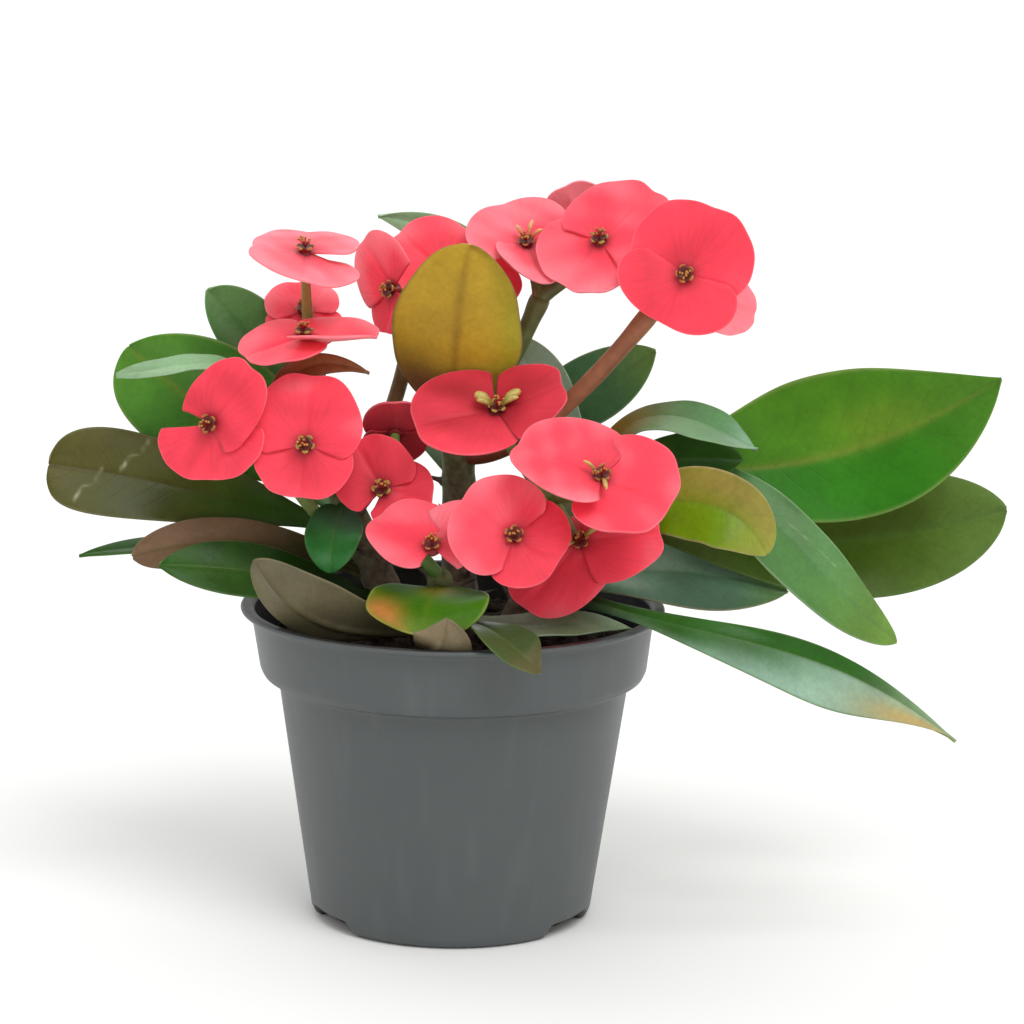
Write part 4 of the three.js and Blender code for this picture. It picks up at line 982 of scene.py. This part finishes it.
def bract(row, numbers, layer, seed, painted_shading):
    """Middle grid and colours of a bract. For a ray at angle a the rim is at
    length cos(0.8 a)^0.25 (1 - 0.07 exp(-(a/16)^2)), stretched sideways to the width; the sheet
    rises by its slope and folds, droops with the third power of the radius, and ripples a little."""
    usual = BRACT_USUAL[len(numbers) - 3:]
    clock, length, width, rise, fold_right, fold_left, reach = (*numbers, *usual)
    centre = np.array(row[0], float)
    right, up, out = bloom_axes(row)
    v = np.linspace(-1, 1, BRACT_COLS)[None]
    t = np.sin(np.linspace(0, math.pi / 2, BRACT_ROWS))[:, None]
    a = np.radians(reach) * v
    dip = 1 - BRACT_NOTCH * np.exp(-((a / math.radians(BRACT_NOTCH_ANGLE)) ** 2))
    rim = length * np.cos(BRACT_NARROWING * a) ** BRACT_BODY * dip
    rim = rim * (1 + 0.012 * ripple(5 * a, 3.0, seed, 3.0, seed))
    r = BRACT_HUB + (rim - BRACT_HUB) * t
    stretch = 1 + (width / (BRACT_BREADTH * length) - 1) * t ** 1.25
    x, y = r * np.cos(a), r * np.sin(a) * stretch
    share = r / length
    wing = np.tan(np.radians(np.where(y < 0, fold_right, fold_left))) * (np.sqrt(y * y + 0.16) - 0.4)
    lift = np.maximum(0, x) * math.tan(math.radians(rise)) + wing
    lift = lift - BRACT_DROOP * share ** 3 - layer * np.clip((r - SINK_FROM) / SINK_OVER, 0, 1)
    lift = lift + 0.45 * share ** 2 * ripple(x, y, size=17, seed=seed)
    lift = lift - 0.35 * np.exp(-((y / 0.9) ** 2)) * smooth(0, 0.3, share) * (1 - smooth(0.6, 1, share))
    turn = math.radians(90 - clock)
    flat = right * (x * math.cos(turn) - y * math.sin(turn))[..., None]
    flat = flat + up * (x * math.sin(turn) + y * math.cos(turn))[..., None]
    middle = centre + flat + out * lift[..., None]
    near, far, right_wing, left_wing = (*painted_shading, 0, 0)[:4]
    wings = np.where(y < 0, right_wing, left_wing) * np.abs(y) / length
    # painted shade and painted highlight from the cup to the rim and on the wings, with a small random
    # wobble
    colour = shaded_and_lit(near + (far - near) * t ** 1.3 + wings + 0.12 * ripple(x, y, size=13, seed=seed + 3))
    ground = np.exp(-((r / 3.0) ** 2))[..., None] * 0.9
    # painted shade: a deep red line in the crease down the middle, fading towards the rim
    line = 0.1 * np.exp(-((y / 0.5) ** 2))[..., None] * (1 - share[..., None])
    edge = smooth(0.975, 1.0, t)[..., None] * 0.25 + 0 * ground
    colour = colour * (1 - ground) + linear("701016") * ground
    colour = colour * (1 - line) + linear(SHADE_RED) * line
    colour = colour * (1 - edge) + linear(RIM_AND_GLARE_PINK) * edge
    return middle, colour, np.stack([t + 0 * a, v + 0 * t, seed + 0 * r], axis=-1)


def bloom_piece(name, seed):
    """Both bracts of a bloom as one piece; the underside is paler and duller."""
    row = BLOOMS[name]
    parts, colours, places = [], [], []
    for k, (numbers, layer) in enumerate([(row[2], 0.0), (row[3], BRACT_LAYER)]):
        painted_shading = SHADE_AND_GLARE[name][k]
        middle, colour, spread = bract(row, numbers, layer, seed * 2 + k, painted_shading)
        thick = BRACT_THICK * rims_to_zero(BRACT_ROWS, BRACT_COLS)
        points, faces, side, inner = blade(middle, thick)
        both = on_both(colour, inner)
        # the paler underside is held back on a bract with painted shade, so that its underside is painted
        # shaded too
        under = (side < 0)[:, None] * 0.5 * (1 - max(0, min(0.9, painted_shading[0])))
        both = both * (1 - under) + linear(BACK) * under
        parts.append((points, faces))
        colours.append(both)
        places.append(on_both(spread, inner))
    points, faces = gathered(parts)
    return make_piece(name + "_bracts", points, faces, bract_finish, "bract_red", name,
                      paint=coloured(np.concatenate(colours)), spread=np.concatenate(places))


for seed, name in enumerate(BLOOMS):
    bloom_piece(name, seed)
print("blooms:", made[-1], "and", len(BLOOMS) - 1, "more")

# %% [markdown]
# ## Leaves
#
# The leaves are leathery, with a waxy cuticle that shows broad soft glare. The blade is a grid of
# ribs square to the midrib. Its half width is a power curve along the leaf, and it is folded,
# twisted and waved as its row says. The midrib is a groove above and a ridge below. Colour comes
# from the blade's own places: base, body and tip, a margin and the rib. The material adds side
# veins, mottling and the fine grain of the cuticle.

# %% Leaf cuticle
leaf_finish, tree, shader = finish_of("waxy_leaf_cuticle", Roughness=0.36, IOR=1.4,
                                      Specular_IOR_Level=0.22,
                                      Subsurface_Weight=0.08, Subsurface_Radius=(0.5, 0.9, 0.2),
                                      Subsurface_Scale=0.001)
place = add(tree, "TexCoord").outputs["Object"]
tint = add(tree, "Attribute", attribute_name="paint").outputs["Color"]
spread = add(tree, "SeparateXYZ", {0: add(tree, "Attribute", attribute_name="spread").outputs["Vector"]})
reach = add(tree, "Math", {0: spread.outputs[1]}, operation="ABSOLUTE")
stray = add(tree, "TexNoise", {"Vector": place, "Scale": 60.0, "Detail": 1.0})
# side veins leave the midrib about 6 mm apart and bend forwards: phase = 15 u - 2.1 |v| + noise
climb = add(tree, "Math", {0: spread.outputs[0], 1: 15.0, 2: 0.0}, operation="MULTIPLY_ADD")
lean = add(tree, "Math", {0: reach, 1: -2.1, 2: climb}, operation="MULTIPLY_ADD")
phase = add(tree, "Math", {0: stray, 1: 0.45, 2: lean}, operation="MULTIPLY_ADD")
wave = add(tree, "Math", {0: phase, 1: 0.5}, operation="PINGPONG")
vein = add(tree, "MapRange", {0: wave, 1: 0.0, 2: 0.07, 3: 1.0, 4: 0.0},
           interpolation_type="SMOOTHSTEP")
fade = add(tree, "MapRange", {0: reach, 1: 0.35, 2: 0.95, 3: 1.0, 4: 0.0})
side_vein = add(tree, "Math", {0: vein, 1: fade}, operation="MULTIPLY")
net = add(tree, "TexVoronoi", {"Vector": place, "Scale": 380.0}, feature="DISTANCE_TO_EDGE")
mesh_line = add(tree, "MapRange", {0: net.outputs["Distance"], 1: 0.0, 2: 0.09, 3: 1.0, 4: 0.0})
blotch = add(tree, "TexNoise", {"Vector": place, "Scale": 55.0, "Detail": 4.0, "Roughness": 0.6})
speck = add(tree, "TexNoise", {"Vector": place, "Scale": 700.0, "Detail": 3.0})
base = add(tree, "MapRange", {0: blotch, 1: 0.3, 2: 0.7, 3: 0.8, 4: 1.16})
dots = add(tree, "MapRange", {0: speck, 1: 0.3, 2: 0.7, 3: 0.94, 4: 1.06})
depth = add(tree, "Math", {0: base, 1: dots}, operation="MULTIPLY")
dark_vein = add(tree, "Math", {0: side_vein, 1: -0.07, 2: depth},
                operation="MULTIPLY_ADD")
dark_net = add(tree, "Math", {0: mesh_line, 1: -0.05, 2: dark_vein},
               operation="MULTIPLY_ADD")
green = add(tree, "VectorMath", {0: tint, "Scale": dark_net}, operation="SCALE")
tree.links.new(green.outputs[0], shader.inputs["Base Color"])
sheen = add(tree, "MapRange", {0: blotch, 1: 0.35, 2: 0.65, 3: 0.3, 4: 0.46})
tree.links.new(sheen.outputs[0], shader.inputs["Roughness"])
swell = add(tree, "Math", {0: side_vein, 1: -0.5, 2: speck}, operation="MULTIPLY_ADD")
bump = add(tree, "Bump", {"Height": swell, "Strength": 0.14, "Distance": 0.0004})
tree.links.new(bump.outputs[0], shader.inputs["Normal"])

# %% Leaf colours
# root, body, tip, the half towards +v, margin, rib, underside
TINTS = {
    "fresh": ("2d5a18", "3f7c16", "55882a", "4d8420", "7f9450", "77802e", "7d9c5c"),
    "dark": ("24421a", "2f5a1c", "3f6c26", "365f20", "5f7a44", "4f6a2c", "6f8a58"),
    "blue": ("35603a", "4a7a4c", "6a9448", "4f8054", "93ad88", "557a50", "8aa684"),
    "pale": ("6a8f62", "7fa678", "90b088", "86ac80", "a9c2a0", "7a9c70", "a0b898"),
    "olive": ("4f7a16", "6f8f1a", "8f9a3c", "7c8c24", "b09a66", "66801c", "9aa05a"),
    "bronze": ("8a6a34", "a08030", "a8862c", "9a8c2c", "7a6a3c", "7c5a20", "a8882e"),
    "umber": ("3a4a20", "565228", "6a6440", "5c562c", "7a745c", "47401f", "6c6450"),
}
OWN_COLOURS = {  # for a leaf that differs from its tint: which of the seven, and its colour
    "leaf_right_upper": {0: "2a640e", 1: "2c740a", 3: "467c12", 2: "4f8022"},
    # leaf_right_lower: the darker half towards +v is painted shadow of leaf_right_upper above it
    "leaf_right_lower": {0: "4a441a", 1: "4b641b", 3: "46571b", 2: "627e3a"},
    "leaf_right_long": {0: "3c6c30", 1: "4f7c40", 3: "57824a", 2: "6e9038"},
    "leaf_right_short": {1: "6e900e", 3: "808426", 2: "989844", 4: "b89c7a"},
    # leaf_right_arched: the pale tip is a painted highlight, glare on its wax
    "leaf_right_arched": {0: "7a6c20", 1: "6c9666", 2: "94b89c", 3: "5c8a58"},
    # leaf_right_drooping: the pale grey-green body and tip are a painted highlight, glare on its wax; the
    # darker other half is its own green
    "leaf_right_drooping": {0: "24481a", 1: "8fae98", 3: "2c5f1a", 2: "93ab86"},
    "leaf_right_inner": {1: "62886e", 3: "7f9f86", 4: "b0a488"},
    "leaf_back_tip": {0: "8fb094", 1: "9fbfa4", 3: "9fbfa4"},
    # leaf_bronze: its purple-brown root is painted shadow of the bloom above it
    "leaf_bronze": {6: "b0902a", 0: "7a5438"},
    "leaf_left_top": {0: "3f6a38", 1: "5f8f50", 3: "54864a", 2: "6a965a"},
    "leaf_left_round": {1: "3c7420", 3: "47802a"},
    "leaf_left_brown": {1: "7c4428", 3: "8a5030", 0: "6a5a2c", 2: "8a5838"},
    "leaf_left_long": {0: "28501a", 1: "4c4a18", 3: "464a1a", 2: "565224"},
    "leaf_left_curled": {6: "785c44"},
    "leaf_left_low": {0: "1c3a0e", 1: "22450f", 3: "284c12", 2: "305818"},
    "leaf_centre": {0: "3a7012", 1: "36700d", 3: "437812", 2: "62822a", 4: "8a9a44"},
    "leaf_centre_hanging": {1: "286a2c", 3: "246428", 2: "327034"},
    "leaf_rim_left": {6: "70684e"},
    "leaf_rim_front": {1: "3e4e22", 3: "36471d", 2: "665838"},
    "leaf_rim_folded": {6: "807258"},
    "leaf_rim_right": {1: "7a8a66", 3: "82906e"},
}
# soft spots: place along and across, their reach, colour and strength; most are the leaf's own blotches,
# and those noted below are painted highlight or painted shadow
BLOTCHES_AND_PAINTED_LIGHT = {
    "leaf_right_upper": [(0.72, 0.25, 0.12, 0.3, "7a8626", 0.35)],
    "leaf_right_short": [(0.7, 0.7, 0.25, 0.4, "a88a50", 0.5)],
    "leaf_right_drooping": [(0.9, -0.7, 0.13, 0.5, "b59a5c", 0.9), (0.3, -0.4, 0.14, 0.8, "2a5a18", 0.95),
                            (0.44, -0.12, 0.2, 0.5, "2a5a16", 0.95)],
    "leaf_right_arched": [(0.2, 0.0, 0.22, 1.5, "7a5a1e", 0.85)],
    "leaf_centre": [(0.8, -0.75, 0.2, 0.35, "c07a3c", 0.9), (0.3, 0.1, 0.15, 0.4, "b8ac40", 0.7)],
    # leaf_bronze: the purple-brown spot at the base is painted shadow of the bloom above; the olive spot
    # is its own colour
    "leaf_bronze": [(0.22, -0.75, 0.16, 0.6, "74503a", 0.9), (0.6, 0.9, 0.4, 0.3, "8a8c22", 0.6)],
    "leaf_left_low": [(0.7, 0.0, 0.2, 0.5, "3a641c", 0.5)],
    "leaf_left_curled": [(0.2, 0.0, 0.32, 1.5, "3a4222", 0.9)],
    "leaf_left_long": [(0.3, 0.0, 0.24, 1.2, "2f5c1c", 0.8)],
    # painted highlights: the pale grey-green spots on the next three leaves stand for glare on their wax
    "leaf_left_round": [(0.55, -0.5, 0.25, 0.3, "7d9f66", 0.5)],
    "leaf_left_top": [(0.5, 0.5, 0.3, 0.3, "9ab890", 0.6)],
    "leaf_right_inner": [(0.5, 0.3, 0.1, 0.3, "a9c0ae", 0.7), (0.35, -0.4, 0.1, 0.3, "a9c0ae", 0.7)],
}
# scars where the skin was torn: from one place along and across the blade to another
SCARS = {
    "leaf_left_long": [(0.78, -0.1, 0.70, -0.9), (0.91, 0.8, 0.83, -0.1)],
    "leaf_right_long": [(0.6, 0.35, 0.75, 0.5)],
}

# %% The leaves' surface
LEAF_ROWS, LEAF_COLS, LEAF_THICK = 110, 61, 0.62
# share of the width that the edge wanders, as a rule and on two leaves
RAGGED_USUAL, RAGGED = 0.02, {"leaf_bronze": 0.05, "leaf_left_long": 0.03}
PETIOLE, PETIOLE_HALF, TIP_HALF = 0.12, 1.5, 0.4  # share of the length that is stalk, half widths
SCAR_SCALE, SCAR_REACH = (85, 14), 0.4  # mm from 0 to 1 along and across the blade, and to its side


def half_width(u, width, widest, blunt):
    """A narrow petiole, then s^a (1-s)^b scaled to be 1 at its widest place."""
    s = np.maximum(0, (u - PETIOLE) / (1 - PETIOLE))
    a = blunt * widest / (1 - widest)
    full = s ** a * (1 - s) ** blunt / (widest ** a * (1 - widest) ** blunt)
    petiole = PETIOLE_HALF * (1 - s)
    return np.maximum(TIP_HALF, petiole + (width / 2 - petiole) * full)


def both_halves(u, v, *numbers):
    """Half width where each number may be a pair, for the halves below and above v = 0."""
    pairs = [n if isinstance(n, tuple) else (n, n) for n in numbers]
    below, above = (half_width(u, *[pair[k] for pair in pairs]) for k in (0, 1))
    share = smooth(-0.12, 0.12, v)
    return below * (1 - share) + above * share


def scar_shape(u, v, start_u, start_v, end_u, end_v, seed):
    """Half on a jagged line between two places of the blade and 0 beside it: the distance from the
    line, with a wobble, against SCAR_REACH."""
    step = np.array(SCAR_SCALE) * (end_u - start_u, end_v - start_v)
    x, y = SCAR_SCALE[0] * (u - start_u), SCAR_SCALE[1] * (v - start_v)
    share = np.clip((x * step[0] + y * step[1]) / (step @ step), 0, 1)
    wobble = 0.8 * ripple(9 * share, 0.0, seed, 3.0, seed + 5)
    gap = np.hypot(x - share * step[0] - wobble, y - share * step[1])
    broken = 0.6 + 0.4 * ripple(30 * share, 1.0, seed, 5.0, seed)
    return 0.5 * np.exp(-((gap / SCAR_REACH) ** 2)) * broken


def leaf_colours(name, u, v, seed):
    """Base, body and tip along u, the other half's colour for v above 0, then rim, rib, blotches, and the
    painted highlights and shadows of some leaves.
    """
    tint = list(TINTS[LEAVES[name][11]])
    for k, code in OWN_COLOURS.get(name, {}).items():
        tint[k] = code
    root, body, tip, other, edge, rib, under = [linear(code) for code in tint]
    half = smooth(-0.08, 0.08, v)[..., None]
    face = body * (1 - half) + other * half
    base = 1 - smooth(0.05, 0.42, u)[..., None]
    end = smooth(0.72, 1.0, u)[..., None] * 0.8
    face = face * (1 - base) + root * base
    face = face * (1 - end) + tip * end
    back = under * (1 - base) + (under * 0.5 + root * 0.5) * base
    rim = smooth(0.93, 1.0, np.abs(v))[..., None] * 0.65
    line = np.exp(-((v / (0.035 + 0.05 * u)) ** 2))[..., None] * (0.75 - 0.4 * u)[..., None]
    sides = []
    for face in (face, back):
        for start_u, start_v, end_u, end_v in SCARS.get(name, []):
            scar = scar_shape(u, v, start_u, start_v, end_u, end_v, seed)[..., None]
            face = face * (1 - scar) + linear("c4c4a4") * scar
        for along, across, long, wide, code, strength in BLOTCHES_AND_PAINTED_LIGHT.get(name, []):
            spot = np.exp(-(((u - along) / long) ** 2) - ((v - across) / wide) ** 2)[..., None] * strength
            face = face * (1 - spot) + linear(code) * spot
        face = face * (1 - line) + rib * line
        sides.append(face * (1 - rim) + edge * rim)
    return sides


def leaf_piece(name, seed):
    """One leaf as a closed blade: the CAD leaf's formulas on a finer grid, with a grooved midrib."""
    _, _, _, _, face, width, widest, blunt, fold, twist, wave, tint = LEAVES[name]
    curve = midrib_of(LEAVES[name])
    stretch = np.linspace(0, 1, LEAF_ROWS - 6)
    u = np.concatenate([np.linspace(0, 0.11, 6), PETIOLE + (1 - PETIOLE) * np.sin(stretch * math.pi / 2)])
    k = np.linspace(-1, 1, LEAF_COLS)
    v = (0.5 * k + 0.5 * np.sin(k * math.pi / 2))[None]
    path, along = bezier(curve, u)
    normal = turned(square_to(facing(*face) + 0 * along, along), along, np.radians(twist * (u - 0.5)))
    side = np.cross(normal, along)
    u2 = u[:, None]
    half = both_halves(u2, v, width, widest, blunt)
    wander = ripple(9 * u2, v, seed, 4.0, seed) * smooth(0.2, 0.4, u2)
    half = half * (1 + RAGGED.get(name, RAGGED_USUAL) * wander)
    lift = np.abs(v) * half * math.sin(math.radians(fold)) + wave * v * v * np.sin(9 * u2 + 2 * v)
    lift = lift + 0.3 * np.abs(v) ** 3 * ripple(30 * u2, 4 * v, seed, 9.0, seed) * smooth(0.2, 0.5, u2)
    lift = lift - 0.3 * np.exp(-((v * half / 1.0) ** 2)) * smooth(0.15, 0.4, u2)
    out = side[:, None] * (v * half * math.cos(math.radians(fold)))[..., None]
    middle = path[:, None] + out + normal[:, None] * lift[..., None]
    rib = 0.9 * np.exp(-((v * half / 1.1) ** 2)) * (1 - u2) ** 0.6
    thick = (LEAF_THICK + rib + 1.2 * (1 - u2) ** 6) * rims_to_zero(LEAF_ROWS, LEAF_COLS)
    points, faces, sides, inner = blade(middle, thick)
    upper, lower = leaf_colours(name, u2 + 0 * v, v + 0 * u2, seed)
    colour = np.where((sides < 0)[:, None], on_both(lower, inner), on_both(upper, inner))
    spread = on_both(np.stack([u2 + 0 * v, v + 0 * u2, seed + 0 * u2 + 0 * v], axis=-1), inner)
    return make_piece(name + "_blade", points, faces, leaf_finish, "leaf_" + tint, name,
                      paint=coloured(colour), spread=spread)


for seed, name in enumerate(LEAVES):
    leaf_piece(name, seed)
print("leaves:", made[-1], "and", len(LEAVES) - 1, "more")

# %% [markdown]
# ## Close
#
# The script ends by counting the pieces it made and their triangles.

# %% Sizes and the end
print(len(made), "pieces,", sum(count for _, count in made), "triangles")
